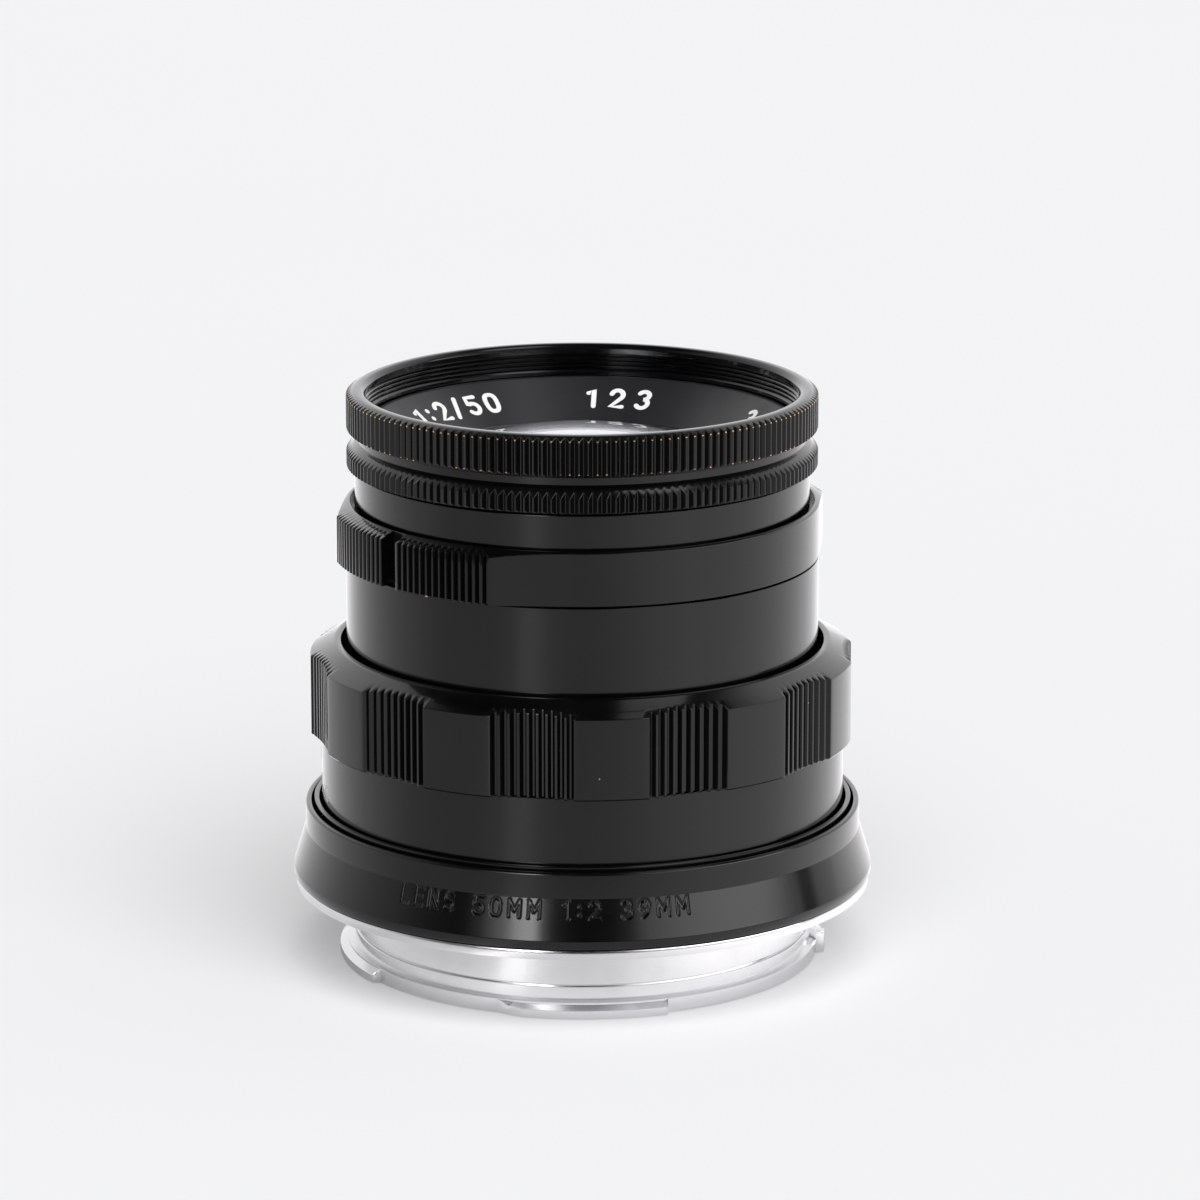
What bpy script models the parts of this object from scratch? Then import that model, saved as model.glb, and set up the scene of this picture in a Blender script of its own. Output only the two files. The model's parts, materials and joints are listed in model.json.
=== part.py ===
"""A 50 mm f/2 taking lens for a rangefinder camera, standing on its four-lug bayonet.

Frame: metres, +Z along the optical axis towards the front glass. The origin is on the axis in the
bayonet's rear face, and the index line is on the +Y side. All sizes below are in millimetres, and
every axial station is measured from the bayonet's rear face, as on a lens drawing.

The lens has a fixed mount, a focusing ring that turns in it, a head that slides without turning, an
aperture ring that turns on the head, and ten iris blades that swing on pins in the head.
"""
import math

import bmesh
import bpy
from mathutils import Matrix

MM = 0.001
TURN = 2 * math.pi

# Driving dimensions, in mm
FLANGE_FACE = 6.64          # station of the flange's rear face, which seats on the camera
FLANGE_TOP = 7.5
FLANGE_RADIUS = 25.9
LUG_RADIUS = 22.0
FOOT_RADIUS = 21.3
FOOT_TOP = 1.5
BAND_RADIUS = 20.65
BAND_TOP = 2.55
BAYONET_RADIUS = 20.5
THROAT_RADIUS = 18.9
SKIRT_RADIUS = 26.1
SKIRT_TOP_RADIUS = 25.0
SKIRT_TOP = 14.2
SKIRT_BORE = 24.45
SKIRT_FLOOR = 9.1
BELT_RADIUS = 23.5
GRIP_RADIUS = 24.45
GRIP_BOTTOM = 20.5
GRIP_TOP = 27.75
FOCUS_RING_TOP = 29.0
FOCUS_RING_BOTTOM = 9.4
FOCUS_BORE = 21.65
GRIP_GROUPS = 11
GRIP_GROUP_WIDTH = math.radians(17.8)
GRIP_FIRST_CENTRE = math.radians(-100.2)
GRIP_SCALLOP_DEPTH = 0.6
BARREL_RADIUS = 21.15
BARREL_BOTTOM = 24.15
BARREL_TOP = 36.75
APERTURE_RING_BOTTOM = 36.95
APERTURE_RING_TOP = 41.75
APERTURE_RING_RADIUS = 21.2
APERTURE_GRIP_RADIUS = 22.25
APERTURE_GRIP_CENTRES = (math.radians(-137.0), math.radians(43.0))
APERTURE_GRIP_HALF = math.radians(26.5)
APERTURE_GRIP_BLEND = math.radians(18.0)
TUBE_RADIUS = 19.8
TUBE_HEAD_RADIUS = 20.3                 # above the aperture ring's seat
TUBE_TOP = 44.75
KNURL_RADIUS = 21.0
RIM_TOP = 51.83
FILTER_THREAD_RADIUS = 19.25
FRONT_GLASS_RADIUS = 14.2

FOCUS_TRAVEL = math.radians(95.0)       # infinity to 1 m
APERTURE_TRAVEL = math.radians(72.0)    # f/2 to f/16 in twelve half-stop clicks
BLADE_COUNT = 10
BLADE_PIVOT_RADIUS = 15.6
BLADE_OPEN_RADIUS = 9.9
BLADE_OUTER_RADIUS = 14.6
BLADE_THICKNESS = 0.12
BLADE_PITCH = 0.24                      # axial step from one blade to the next
BLADE_FIRST_STATION = 29.12

FINE, MEDIUM, COARSE = 36, 28, 20       # facets round a turned piece

# Four bayonet lugs: start and end angle, and how far each end ramps, in degrees from +X
LUGS = (
    (-104.0, -70.0, 6.4, 0.8),
    (-6.0, 22.0, 1.0, 1.2),
    (75.0, 115.0, 1.2, 1.2),
    (158.0, 211.6, 1.2, 1.0),
)
MOUNT_SCREW_ANGLES = tuple(math.radians(a) for a in (-124.75, -41.0, 48.5, 136.5))
MOUNT_SCREW_RADIUS = 24.2
KEY_ANGLE = math.radians(0.0)
STOP_PIN_ANGLE = math.radians(-90.0)
STOP_PIN_RADIUS = 23.0
DRIVE_ANGLE = math.radians(-30.0)
DRIVE_STATION = 38.6
CLICK_ANGLE = math.radians(90.0)
CLICK_RADIUS = 20.25
BEAD_ANGLE = math.radians(150.0)
BEAD_STATION = 10.2


# ---------------------------------------------------------------- scene, bodies and materials

def clear_scene():
    for obj in list(bpy.data.objects):
        bpy.data.objects.remove(obj, do_unlink=True)


def make_body(name, parent=None, location=(0.0, 0.0, 0.0), turn=0.0):
    """An empty on a joint's axis; the pieces that move together hang from it."""
    body = bpy.data.objects.new(name, None)
    body.empty_display_size = 0.01
    body.parent = parent
    body.location = [c * MM for c in location]
    body.rotation_euler.z = turn
    bpy.context.scene.collection.objects.link(body)
    return body


FINISHES = {
    "black_paint": ((0.012, 0.012, 0.013), 0.32, 0.0),
    "black_anodised": ((0.014, 0.014, 0.015), 0.5, 0.3),
    "chrome": ((0.78, 0.78, 0.79), 0.16, 1.0),
    "brass": ((0.62, 0.44, 0.2), 0.32, 1.0),
    "aluminium": ((0.7, 0.7, 0.71), 0.35, 1.0),
    "steel": ((0.42, 0.42, 0.43), 0.3, 1.0),
    "blade_black": ((0.03, 0.03, 0.032), 0.45, 0.8),
    "glass": ((0.9, 0.93, 0.95), 0.02, 0.0),
    "red_bead": ((0.55, 0.02, 0.02), 0.25, 0.0),
}


def finish_for(piece_name, finish):
    """Each piece has its own material, set from its finish."""
    colour, roughness, metallic = FINISHES[finish]
    mat = bpy.data.materials.new(piece_name + "_" + finish)
    mat.use_nodes = True
    shader = mat.node_tree.nodes["Principled BSDF"]
    shader.inputs["Base Color"].default_value = (*colour, 1.0)
    shader.inputs["Roughness"].default_value = roughness
    shader.inputs["Metallic"].default_value = metallic
    if finish == "glass":
        shader.inputs["Transmission Weight"].default_value = 1.0
        shader.inputs["IOR"].default_value = 1.6
    return mat


# ---------------------------------------------------------------- shapes

def add_piece(name, mesh, finish, body, location=(0.0, 0.0, 0.0), rotation=(0.0, 0.0, 0.0)):
    piece = bpy.data.objects.new(name, mesh)
    piece.parent = body
    piece.location = [c * MM for c in location]
    piece.rotation_euler = rotation
    if not mesh.materials:
        mesh.materials.append(finish_for(name, finish))
    bpy.context.scene.collection.objects.link(piece)
    return piece


def finished_mesh(bm, name):
    bmesh.ops.recalc_face_normals(bm, faces=bm.faces[:])
    mesh = bpy.data.meshes.new(name)
    bm.to_mesh(mesh)
    bm.free()
    mesh.shade_smooth()
    mesh.set_sharp_from_angle(angle=math.radians(28.0))
    return mesh


def polar(radius, angle, z=0.0):
    return (radius * math.cos(angle), radius * math.sin(angle), z)


def around(count):
    return [TURN * i / count for i in range(count)]


def ring_mesh(name, section, angles, closed=True):
    """Carry an (r, z) outline round the axis. A section may be a list, or a function of the angle."""
    bm = bmesh.new()
    loops = []
    for angle in angles:
        outline = section(angle) if callable(section) else section
        c, s = math.cos(angle), math.sin(angle)
        loops.append([bm.verts.new((r * c * MM, r * s * MM, z * MM)) for r, z in outline])
    spans = len(loops) if closed else len(loops) - 1
    corners = len(loops[0])
    for i in range(spans):
        here, there = loops[i], loops[(i + 1) % len(loops)]
        for j in range(corners):
            k = (j + 1) % corners
            bm.faces.new((here[j], here[k], there[k], there[j]))
    if not closed:
        bm.faces.new(loops[0])
        bm.faces.new(loops[-1])
    return finished_mesh(bm, name)


def disc_mesh(name, profile, facets):
    """A solid turned piece: the (r, z) profile starts and ends on the axis."""
    bm = bmesh.new()
    first = bm.verts.new((0.0, 0.0, profile[0][1] * MM))
    last = bm.verts.new((0.0, 0.0, profile[-1][1] * MM))
    loops = []
    for r, z in profile[1:-1]:
        points = [polar(r * MM, a, z * MM) for a in around(facets)]
        loops.append([bm.verts.new(point) for point in points])
    for i in range(facets):
        k = (i + 1) % facets
        bm.faces.new((first, loops[0][i], loops[0][k]))
        bm.faces.new((last, loops[-1][k], loops[-1][i]))
        for upper, lower in zip(loops, loops[1:]):
            bm.faces.new((upper[i], lower[i], lower[k], upper[k]))
    return finished_mesh(bm, name)


def box_mesh(name, low, high):
    bm = bmesh.new()
    size = [(b - a) * MM for a, b in zip(low, high)]
    middle = [(a + b) / 2 * MM for a, b in zip(low, high)]
    bmesh.ops.create_cube(bm, size=1.0, matrix=Matrix.Translation(middle) @ Matrix.Diagonal((*size, 1.0)))
    return finished_mesh(bm, name)


def plate_mesh(name, outline, hole, thickness):
    """A flat plate of (x, y) outline with one hole, from z = 0 up."""
    bm = bmesh.new()
    edges = []
    for loop in (outline, hole):
        verts = [bm.verts.new((x * MM, y * MM, 0.0)) for x, y in loop]
        edges += [bm.edges.new((verts[i], verts[(i + 1) % len(verts)])) for i in range(len(verts))]
    bmesh.ops.triangle_fill(bm, edges=edges, use_beauty=True)
    raised = bmesh.ops.extrude_face_region(bm, geom=bm.faces[:])
    moved = [g for g in raised["geom"] if isinstance(g, bmesh.types.BMVert)]
    bmesh.ops.translate(bm, verts=moved, vec=(0.0, 0.0, thickness * MM))
    return finished_mesh(bm, name)


def combine(piece, tool_mesh, operation="DIFFERENCE", location=(0.0, 0.0, 0.0), rotation=(0.0, 0.0, 0.0)):
    """Cut a hidden tool from a piece, or join it on."""
    tool = bpy.data.objects.new(piece.name + "_tool", tool_mesh)
    tool.parent = piece
    tool.location = [c * MM for c in location]
    tool.rotation_euler = rotation
    tool.display_type = "WIRE"
    tool.hide_render = True
    bpy.context.scene.collection.objects.link(tool)
    boolean = piece.modifiers.new(tool.name, "BOOLEAN")
    boolean.operation = operation
    boolean.solver = "EXACT"
    boolean.object = tool


def rod_mesh(name, radius, bottom, top, facets=10):
    return disc_mesh(name, [(0.0, top), (radius, top), (radius, bottom), (0.0, bottom)], facets)


def drill_radially(piece, angle, station, radius, start, end):
    """A round hole that points away from the axis, from one radius to another."""
    tool = rod_mesh(piece.name + "_drill", radius, start, end, 12)
    combine(piece, tool, location=(0.0, 0.0, station), rotation=(0.0, math.pi / 2, angle))


def radial_screw(name, body, angle, station, radius, start, end):
    """A headless screw that points away from the axis, with a hollow in its outer end."""
    socket = radius * 0.5
    floor = end - 0.3
    profile = [(0.0, floor), (socket, floor), (socket, end), (radius, end), (radius, start), (0.0, start)]
    mesh = disc_mesh(name, profile, 10)
    return add_piece(name, mesh, "steel", body, (0.0, 0.0, station), (0.0, math.pi / 2, angle))


# ---------------------------------------------------------------- fixed mount

def lug_reach(angle):
    """How far a lug stands out at this angle: 0 between lugs, 1 on a lug, in between on its ramps."""
    degrees = math.degrees(angle)
    reach = 0.0
    for start, end, lead, trail in LUGS:
        along = (degrees - start + lead) % 360.0
        length = end - start + lead + trail
        if along <= length:
            reach = max(reach, min(1.0, along / lead, (length - along) / trail))
    return reach


def bayonet_angles():
    degrees = {round(i * 360.0 / FINE, 3) for i in range(FINE)}
    for start, end, lead, trail in LUGS:
        ramps = (start - lead, start, end, end + trail)
        degrees = {d for d in degrees if all(abs((d - r + 180.0) % 360.0 - 180.0) > 1.5 for r in ramps)}
        degrees |= {round(r % 360.0, 3) for r in ramps}
    return [math.radians(d) for d in sorted(degrees)]


def bayonet_section(angle):
    """A cylinder, a raised band and a wider foot ring, from which the lugs stand out under sloping tops."""
    reach = lug_reach(angle)
    lug = FOOT_RADIUS + (LUG_RADIUS - FOOT_RADIUS) * reach
    return [(THROAT_RADIUS, 0.3), (THROAT_RADIUS + 0.3, 0.0), (lug - 0.14, 0.0), (lug, 0.14),
            (lug, 1.2 - 0.38 * reach), (FOOT_RADIUS - 0.02, 1.35 - 0.19 * reach),
            (FOOT_RADIUS - 0.04, FOOT_TOP), (BAND_RADIUS, FOOT_TOP + 0.03), (BAND_RADIUS, BAND_TOP),
            (BAYONET_RADIUS, BAND_TOP + 0.1), (BAYONET_RADIUS, 6.9), (22.6, 6.9), (22.6, FLANGE_FACE),
            (FLANGE_RADIUS, FLANGE_FACE), (FLANGE_RADIUS, FLANGE_TOP), (THROAT_RADIUS, FLANGE_TOP)]


def make_mount(body):
    mesh = ring_mesh("bayonet_mount", bayonet_section, bayonet_angles())
    bayonet = add_piece("bayonet_mount", mesh, "chrome", body)
    skirt_section = [(21.9, 7.6), (SKIRT_RADIUS - 0.1, 7.6), (SKIRT_RADIUS, 7.7), (SKIRT_RADIUS, 8.36),
                     (SKIRT_TOP_RADIUS, 12.0), (SKIRT_TOP_RADIUS, SKIRT_TOP - 0.1),
                     (SKIRT_TOP_RADIUS - 0.1, SKIRT_TOP), (SKIRT_BORE, SKIRT_TOP),
                     (SKIRT_BORE, SKIRT_FLOOR), (21.9, SKIRT_FLOOR)]
    mesh = ring_mesh("rear_skirt", skirt_section, around(FINE))
    skirt = add_piece("rear_skirt", mesh, "black_paint", body)

    screw_profile = [(0.0, 8.65), (0.6, 8.65), (0.6, 7.3), (1.1, 6.74), (0.0, 6.74)]
    screw_mesh = disc_mesh("mount_screw", screw_profile, 12)
    for i, angle in enumerate(MOUNT_SCREW_ANGLES):
        place = polar(MOUNT_SCREW_RADIUS, angle)
        combine(bayonet, rod_mesh("flange_hole", 1.3, 6.0, 8.0, 14), location=place)
        combine(skirt, rod_mesh("skirt_hole", 0.75, 7.0, 8.8, 12), location=place)
        add_piece("mount_screw_%d" % (i + 1), screw_mesh.copy(), "steel", body, place)

    trim_section = [(23.75, 11.0), (24.2, 11.0), (24.2, 14.4), (24.1, 14.5), (23.75, 14.5)]
    mesh = ring_mesh("skirt_trim_ring", trim_section, around(FINE))
    add_piece("skirt_trim_ring", mesh, "black_paint", body)
    make_index_bead(body, skirt)
    make_guide(body)

    combine(skirt, rod_mesh("pin_hole", 0.5, 8.0, 9.6, 12), location=polar(STOP_PIN_RADIUS, STOP_PIN_ANGLE))
    pin = rod_mesh("focus_stop_pin", 0.35, 8.2, 10.1)
    add_piece("focus_stop_pin", pin, "steel", body, polar(STOP_PIN_RADIUS, STOP_PIN_ANGLE))


def make_index_bead(body, skirt):
    """A round bead set square to the skirt's cone."""
    slope = math.atan2(SKIRT_RADIUS - SKIRT_TOP_RADIUS, 12.0 - 8.36)
    radius = SKIRT_RADIUS - (BEAD_STATION - 8.36) * math.tan(slope)
    dome = [(1.45 * math.sin(t), 0.15 + 0.75 * math.cos(t)) for t in (i * math.pi / 10 for i in range(6))]
    profile = dome + [(1.45, -0.55), (0.0, -0.55)]
    tilt = (0.0, math.pi / 2 - slope, BEAD_ANGLE)
    place = polar(radius, BEAD_ANGLE, BEAD_STATION)
    combine(skirt, rod_mesh("bead_hole", 1.65, -0.7, 1.0, 16), location=place, rotation=tilt)
    add_piece("index_bead", disc_mesh("index_bead", profile, 16), "red_bead", body, place, tilt)


def make_guide(body):
    """The sleeve and key that let the head slide but not turn."""
    section = [(17.65, 7.75), (21.6, 7.75), (21.6, 8.9), (18.75, 8.9), (18.75, 20.0), (17.65, 20.0)]
    sleeve = add_piece("guide_sleeve", ring_mesh("guide_sleeve", section, around(COARSE)), "brass", body)
    drill_radially(sleeve, KEY_ANGLE, 16.0, 0.65, 17.0, 19.2)
    key = add_piece("guide_key", box_mesh("guide_key", (18.95, -1.25, -3.2), (19.75, 1.25, 3.2)), "steel",
                    body, (0.0, 0.0, 16.0), (0.0, 0.0, KEY_ANGLE))
    combine(key, rod_mesh("key_hole", 0.65, 18.5, 19.55, 12), rotation=(0.0, math.pi / 2, 0.0))
    screw = rod_mesh("guide_key_screw", 0.5, 17.8, 19.4)
    add_piece("guide_key_screw", screw, "steel", body, (0.0, 0.0, 16.0), (0.0, math.pi / 2, KEY_ANGLE))


# ---------------------------------------------------------------- focusing ring

def grip_centres():
    return [GRIP_FIRST_CENTRE + TURN * k / GRIP_GROUPS for k in range(GRIP_GROUPS)]


def grip_radius(angle):
    """The grip's radius: full on the lands, hollowed where the ribs are."""
    half = GRIP_GROUP_WIDTH / 2
    for centre in grip_centres():
        offset = (angle - centre + math.pi) % TURN - math.pi
        if abs(offset) < half:
            return GRIP_RADIUS - GRIP_SCALLOP_DEPTH * (1.0 - (offset / half) ** 2)
    return GRIP_RADIUS


def focus_section(angle):
    grip = grip_radius(angle)
    return [(FOCUS_BORE, FOCUS_RING_BOTTOM), (24.15, FOCUS_RING_BOTTOM), (24.15, 10.7), (BELT_RADIUS, 10.7),
            (BELT_RADIUS, GRIP_BOTTOM), (grip, GRIP_BOTTOM), (grip, GRIP_TOP), (22.2, FOCUS_RING_TOP),
            (FOCUS_BORE, FOCUS_RING_TOP)]


def make_focus(body):
    half = GRIP_GROUP_WIDTH / 2
    steps = (-math.pi / GRIP_GROUPS, -half, -half / 2, 0.0, half / 2, half)
    angles = [centre + step for centre in grip_centres() for step in steps]
    ring = add_piece("focus_ring", ring_mesh("focus_ring", focus_section, angles), "black_paint", body)
    margin = math.radians(2.6)
    count = 12
    span = [STOP_PIN_ANGLE - margin + (FOCUS_TRAVEL + 2 * margin) * i / count for i in range(count + 1)]
    groove = [(22.45, 9.0), (23.55, 9.0), (23.55, 10.35), (22.45, 10.35)]
    combine(ring, ring_mesh("stop_groove", groove, span, closed=False))

    section = [(20.8, 9.7), (21.45, 9.7), (21.45, 23.6), (20.8, 23.6)]
    mesh = ring_mesh("focus_helicoid", section, around(FINE))
    helicoid = add_piece("focus_helicoid", mesh, "brass", body)
    for i in range(3):
        angle = math.radians(30.0) + TURN * i / 3
        drill_radially(ring, angle, 12.3, 0.65, 21.0, 24.0)
        drill_radially(helicoid, angle, 12.3, 0.65, 20.0, 22.0)
        radial_screw("focus_set_screw_%d" % (i + 1), body, angle, 12.3, 0.5, 21.0, 23.3)


# ---------------------------------------------------------------- sliding head

def make_head_frame(body):
    barrel_section = [(17.6, BARREL_BOTTOM), (BARREL_RADIUS, BARREL_BOTTOM), (BARREL_RADIUS, BARREL_TOP),
                      (19.4, BARREL_TOP), (19.4, 25.4), (17.6, 25.4)]
    mesh = ring_mesh("head_barrel", barrel_section, around(FINE))
    barrel = add_piece("head_barrel", mesh, "black_paint", body)

    helicoid_section = [(19.05, 9.7), (20.65, 9.7), (20.65, 23.9), (17.6, 23.9), (17.6, 22.7),
                        (19.05, 22.7)]
    mesh = ring_mesh("head_helicoid", helicoid_section, around(FINE))
    helicoid = add_piece("head_helicoid", mesh, "aluminium", body)
    key_way = box_mesh("key_way", (18.5, -1.5, 9.0), (21.5, 1.5, 19.6))
    combine(helicoid, key_way, rotation=(0.0, 0.0, KEY_ANGLE))

    cam_section = [(15.5, 0.3), (17.3, 0.3), (17.3, 20.7), (18.8, 20.7), (18.8, 22.45), (15.5, 22.45)]
    add_piece("rangefinder_cam", ring_mesh("rangefinder_cam", cam_section, around(COARSE)), "brass", body)

    head_section = [(15.2, 25.6), (19.1, 25.6), (19.1, 36.9), (TUBE_RADIUS, 36.9), (TUBE_RADIUS, 41.1),
                    (TUBE_HEAD_RADIUS, 41.1), (TUBE_HEAD_RADIUS, TUBE_TOP), (19.0, TUBE_TOP),
                    (19.0, 46.9), (18.3, 46.9), (18.3, 42.1), (17.15, 42.1),
                    (17.15, 41.0), (18.3, 41.0), (18.3, 27.0), (15.2, 27.0)]
    head = add_piece("lens_head", ring_mesh("lens_head", head_section, around(MEDIUM)), "black_paint", body)
    margin = math.radians(3.2)
    count = 10
    span = [DRIVE_ANGLE + margin - (APERTURE_TRAVEL + 2 * margin) * i / count for i in range(count + 1)]
    slot = [(17.9, 37.8), (20.3, 37.8), (20.3, 39.4), (17.9, 39.4)]
    combine(head, ring_mesh("drive_slot", slot, span, closed=False))
    for i in range(3):
        angle = math.radians(80.0) + TURN * i / 3
        drill_radially(barrel, angle, 26.35, 0.55, 19.0, 21.6)
        drill_radially(head, angle, 26.35, 0.55, 18.2, 19.6)
        radial_screw("barrel_set_screw_%d" % (i + 1), body, angle, 26.35, 0.42, 18.4, 20.9)
    make_click_stop(body, barrel)


def make_click_stop(body, barrel):
    """A ball and spring in the barrel's end, under the aperture ring."""
    place = polar(CLICK_RADIUS, CLICK_ANGLE)
    combine(barrel, rod_mesh("click_bore", 0.62, 33.2, 37.2, 12), location=place)
    ball = [(0.5 * math.sin(t), 36.3 + 0.5 * math.cos(t)) for t in (i * math.pi / 6 for i in range(7))]
    add_piece("click_ball", disc_mesh("click_ball", ball, 10), "steel", body, place)
    turns, steps, coil, bottom, top = 4, 8, 0.36, 33.4, 35.6
    curve = bpy.data.curves.new("click_spring", "CURVE")
    curve.dimensions = "3D"
    curve.bevel_depth = 0.09 * MM
    curve.bevel_resolution = 0
    curve.use_fill_caps = True
    wire = curve.splines.new("POLY")
    wire.points.add(turns * steps)
    for i, point in enumerate(wire.points):
        angle = TURN * i / steps
        height = bottom + (top - bottom) * i / (turns * steps)
        point.co = (coil * math.cos(angle) * MM, coil * math.sin(angle) * MM, height * MM, 1.0)
    add_piece("click_spring", curve, "steel", body, place)


def make_front(body):
    filter_section = [(19.15, 44.94), (20.7, 44.94), (KNURL_RADIUS, 45.1), (KNURL_RADIUS, 46.42),
                      (20.15, 47.3), (20.0, 47.4), (20.0, 48.1), (20.65, 48.3), (KNURL_RADIUS, 48.5),
                      (KNURL_RADIUS, 51.5), (20.7, RIM_TOP), (19.55, RIM_TOP),
                      (FILTER_THREAD_RADIUS, 51.5), (FILTER_THREAD_RADIUS, 49.4), (19.15, 49.3)]
    add_piece("filter_ring", ring_mesh("filter_ring", filter_section, around(FINE)), "black_paint", body)
    name_section = [(14.4, 45.2), (17.4, 47.1), (18.9, 47.1), (18.9, 49.35), (14.4, 45.55)]
    add_piece("name_ring", ring_mesh("name_ring", name_section, around(MEDIUM)), "black_anodised", body)
    snap = [(19.95, 40.45), (20.4, 40.45), (20.4, 40.85), (19.95, 40.85)]
    gap = math.radians(4.0)
    span = [gap + (TURN - 2 * gap) * i / FINE for i in range(FINE + 1)]
    mesh = ring_mesh("aperture_snap_ring", snap, span, closed=False)
    add_piece("aperture_snap_ring", mesh, "steel", body)


# ---------------------------------------------------------------- glass and cells

def sag(curvature_radius, r):
    """Depth of a spherical surface below its vertex, with the sign of its radius."""
    if math.isinf(curvature_radius):
        return 0.0
    size = abs(curvature_radius)
    return math.copysign(size - math.sqrt(size * size - r * r), curvature_radius)


def surface(vertex, curvature_radius, rim):
    """Points of one glass surface from the axis out; a positive radius bulges forwards."""
    count = 1 if math.isinf(curvature_radius) else 3
    return [(rim * i / count, vertex - sag(curvature_radius, rim * i / count)) for i in range(count + 1)]


def make_element(name, body, front, rear, shoulder=()):
    """One glass element from its front and rear surfaces, each (vertex, radius, rim)."""
    profile = surface(*front) + list(shoulder) + surface(*rear)[::-1]
    add_piece(name, disc_mesh(name, profile, 16), "glass", body)


def make_optics(body):
    flat = math.inf
    make_element("front_element_1", body, (47.9, 41.6, FRONT_GLASS_RADIUS), (42.9, flat, 15.0),
                 ((FRONT_GLASS_RADIUS, 44.1), (15.0, 44.1)))
    make_element("front_element_2", body, (42.5, 25.0, 12.8), (37.6, 60.0, 12.8))
    make_element("front_element_3", body, (37.2, 60.0, 11.8), (35.6, 15.5, 9.6), ((11.8, 32.27),))
    make_element("rear_element_4", body, (24.6, -15.5, 9.6), (23.25, flat, 11.4), ((11.4, 27.93),))
    make_element("rear_element_5", body, (23.1, flat, 11.4), (18.0, -22.0, 11.4))
    make_element("rear_element_6", body, (17.4, 60.0, 11.8), (12.2, -33.0, 11.8))
    make_element("rear_element_7", body, (11.4, 40.0, 11.8), (7.9, -80.0, 11.8))

    rings = {
        "front_cell": [(10.0, 31.75), (12.3, 31.75), (12.3, 33.2), (16.9, 33.2), (16.9, 42.4), (18.1, 42.4),
                       (18.1, 43.8), (16.9, 43.8), (16.9, 45.0), (15.2, 45.0), (15.2, 42.7), (13.0, 42.7),
                       (13.0, 35.95), (12.0, 35.95), (12.0, 32.05), (10.0, 32.05)],
        "front_retaining_ring": [(14.4, 44.35), (15.05, 44.35), (15.05, 45.0), (14.4, 45.0)],
        "front_spacer": [(12.1, 39.6), (12.8, 39.6), (12.8, 42.6), (12.1, 42.6)],
        "rear_cell": [(12.0, 7.4), (14.6, 7.4), (14.6, 24.4), (17.3, 24.4), (17.3, 25.3), (14.9, 25.3),
                      (14.9, 27.4), (11.6, 27.4), (11.6, 20.6), (10.9, 20.6), (10.9, 16.7), (12.0, 16.7)],
        "rear_spacer": [(11.0, 10.1), (11.8, 10.1), (11.8, 13.8), (11.0, 13.8)],
        "rear_retaining_ring": [(10.8, 7.5), (11.8, 7.5), (11.8, 8.3), (10.8, 8.3)],
    }
    for name, section in rings.items():
        finish = "aluminium" if "spacer" in name else "black_anodised"
        add_piece(name, ring_mesh(name, section, around(COARSE)), finish, body)


# ---------------------------------------------------------------- iris

def blade_outline():
    """A crescent from its pivot eye round to its tip, in the blade's own frame: the pivot is the origin,
    and the optical axis lies at -X."""
    tip = math.radians(116.0)
    start = math.radians(-6.0)
    shoulder = math.radians(6.0)
    outer = [polar(BLADE_OUTER_RADIUS, tip + (shoulder - tip) * i / 10)[:2] for i in range(11)]
    inner = [polar(BLADE_OPEN_RADIUS, start + (tip - start) * i / 11)[:2] for i in range(12)]
    eye = [(BLADE_PIVOT_RADIUS + 1.0 * math.cos(t), 1.0 * math.sin(t))
           for t in (math.radians(90.0 - 36.0 * i) for i in range(6))]
    return [(x - BLADE_PIVOT_RADIUS, y) for x, y in outer + eye + inner]


def make_iris(head, aperture):
    section = [(10.4, 28.3), (15.3, 28.3), (15.3, 27.2), (17.9, 27.2), (17.9, 31.6), (17.3, 31.6),
               (17.3, 29.0), (10.4, 29.0)]
    mesh = ring_mesh("iris_housing", section, around(COARSE))
    housing = add_piece("iris_housing", mesh, "black_anodised", head)
    pivot_hole = [polar(0.45, t)[:2] for t in around(8)]
    blade = plate_mesh("iris_blade", blade_outline(), pivot_hole, BLADE_THICKNESS)
    for i in range(BLADE_COUNT):
        angle = TURN * i / BLADE_COUNT
        place = polar(BLADE_PIVOT_RADIUS, angle)
        combine(housing, rod_mesh("pivot_pin", 0.3, 28.6, 31.55, 8), "UNION", place)
        station = BLADE_FIRST_STATION + BLADE_PITCH * i
        pivot = make_body("blade_pivot_%d" % (i + 1), head, (place[0], place[1], station), angle)
        add_piece("iris_blade_%d" % (i + 1), blade.copy(), "blade_black", pivot)

    drive_section = [(12.7, 31.9), (17.6, 31.9), (17.6, 32.5), (12.7, 32.5)]
    mesh = ring_mesh("iris_drive_ring", drive_section, around(COARSE))
    ring = add_piece("iris_drive_ring", mesh, "brass", aperture)
    for i in range(BLADE_COUNT):
        angle = TURN * (i + 0.5) / BLADE_COUNT
        slot = box_mesh("drive_slot", (13.8, -0.45, 31.0), (16.6, 0.45, 33.0))
        combine(ring, slot, rotation=(0.0, 0.0, angle))


# ---------------------------------------------------------------- aperture ring

def aperture_radius(angle):
    """The ring's radius: the two finger grips stand proud and run out along a tangent on each side."""
    for centre in APERTURE_GRIP_CENTRES:
        offset = abs((angle - centre + math.pi) % TURN - math.pi)
        if offset <= APERTURE_GRIP_HALF:
            return APERTURE_GRIP_RADIUS
        if offset < APERTURE_GRIP_HALF + APERTURE_GRIP_BLEND:
            past = (offset - APERTURE_GRIP_HALF) / APERTURE_GRIP_BLEND
            return APERTURE_GRIP_RADIUS + (APERTURE_RING_RADIUS - APERTURE_GRIP_RADIUS) * past
    return APERTURE_RING_RADIUS


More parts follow.
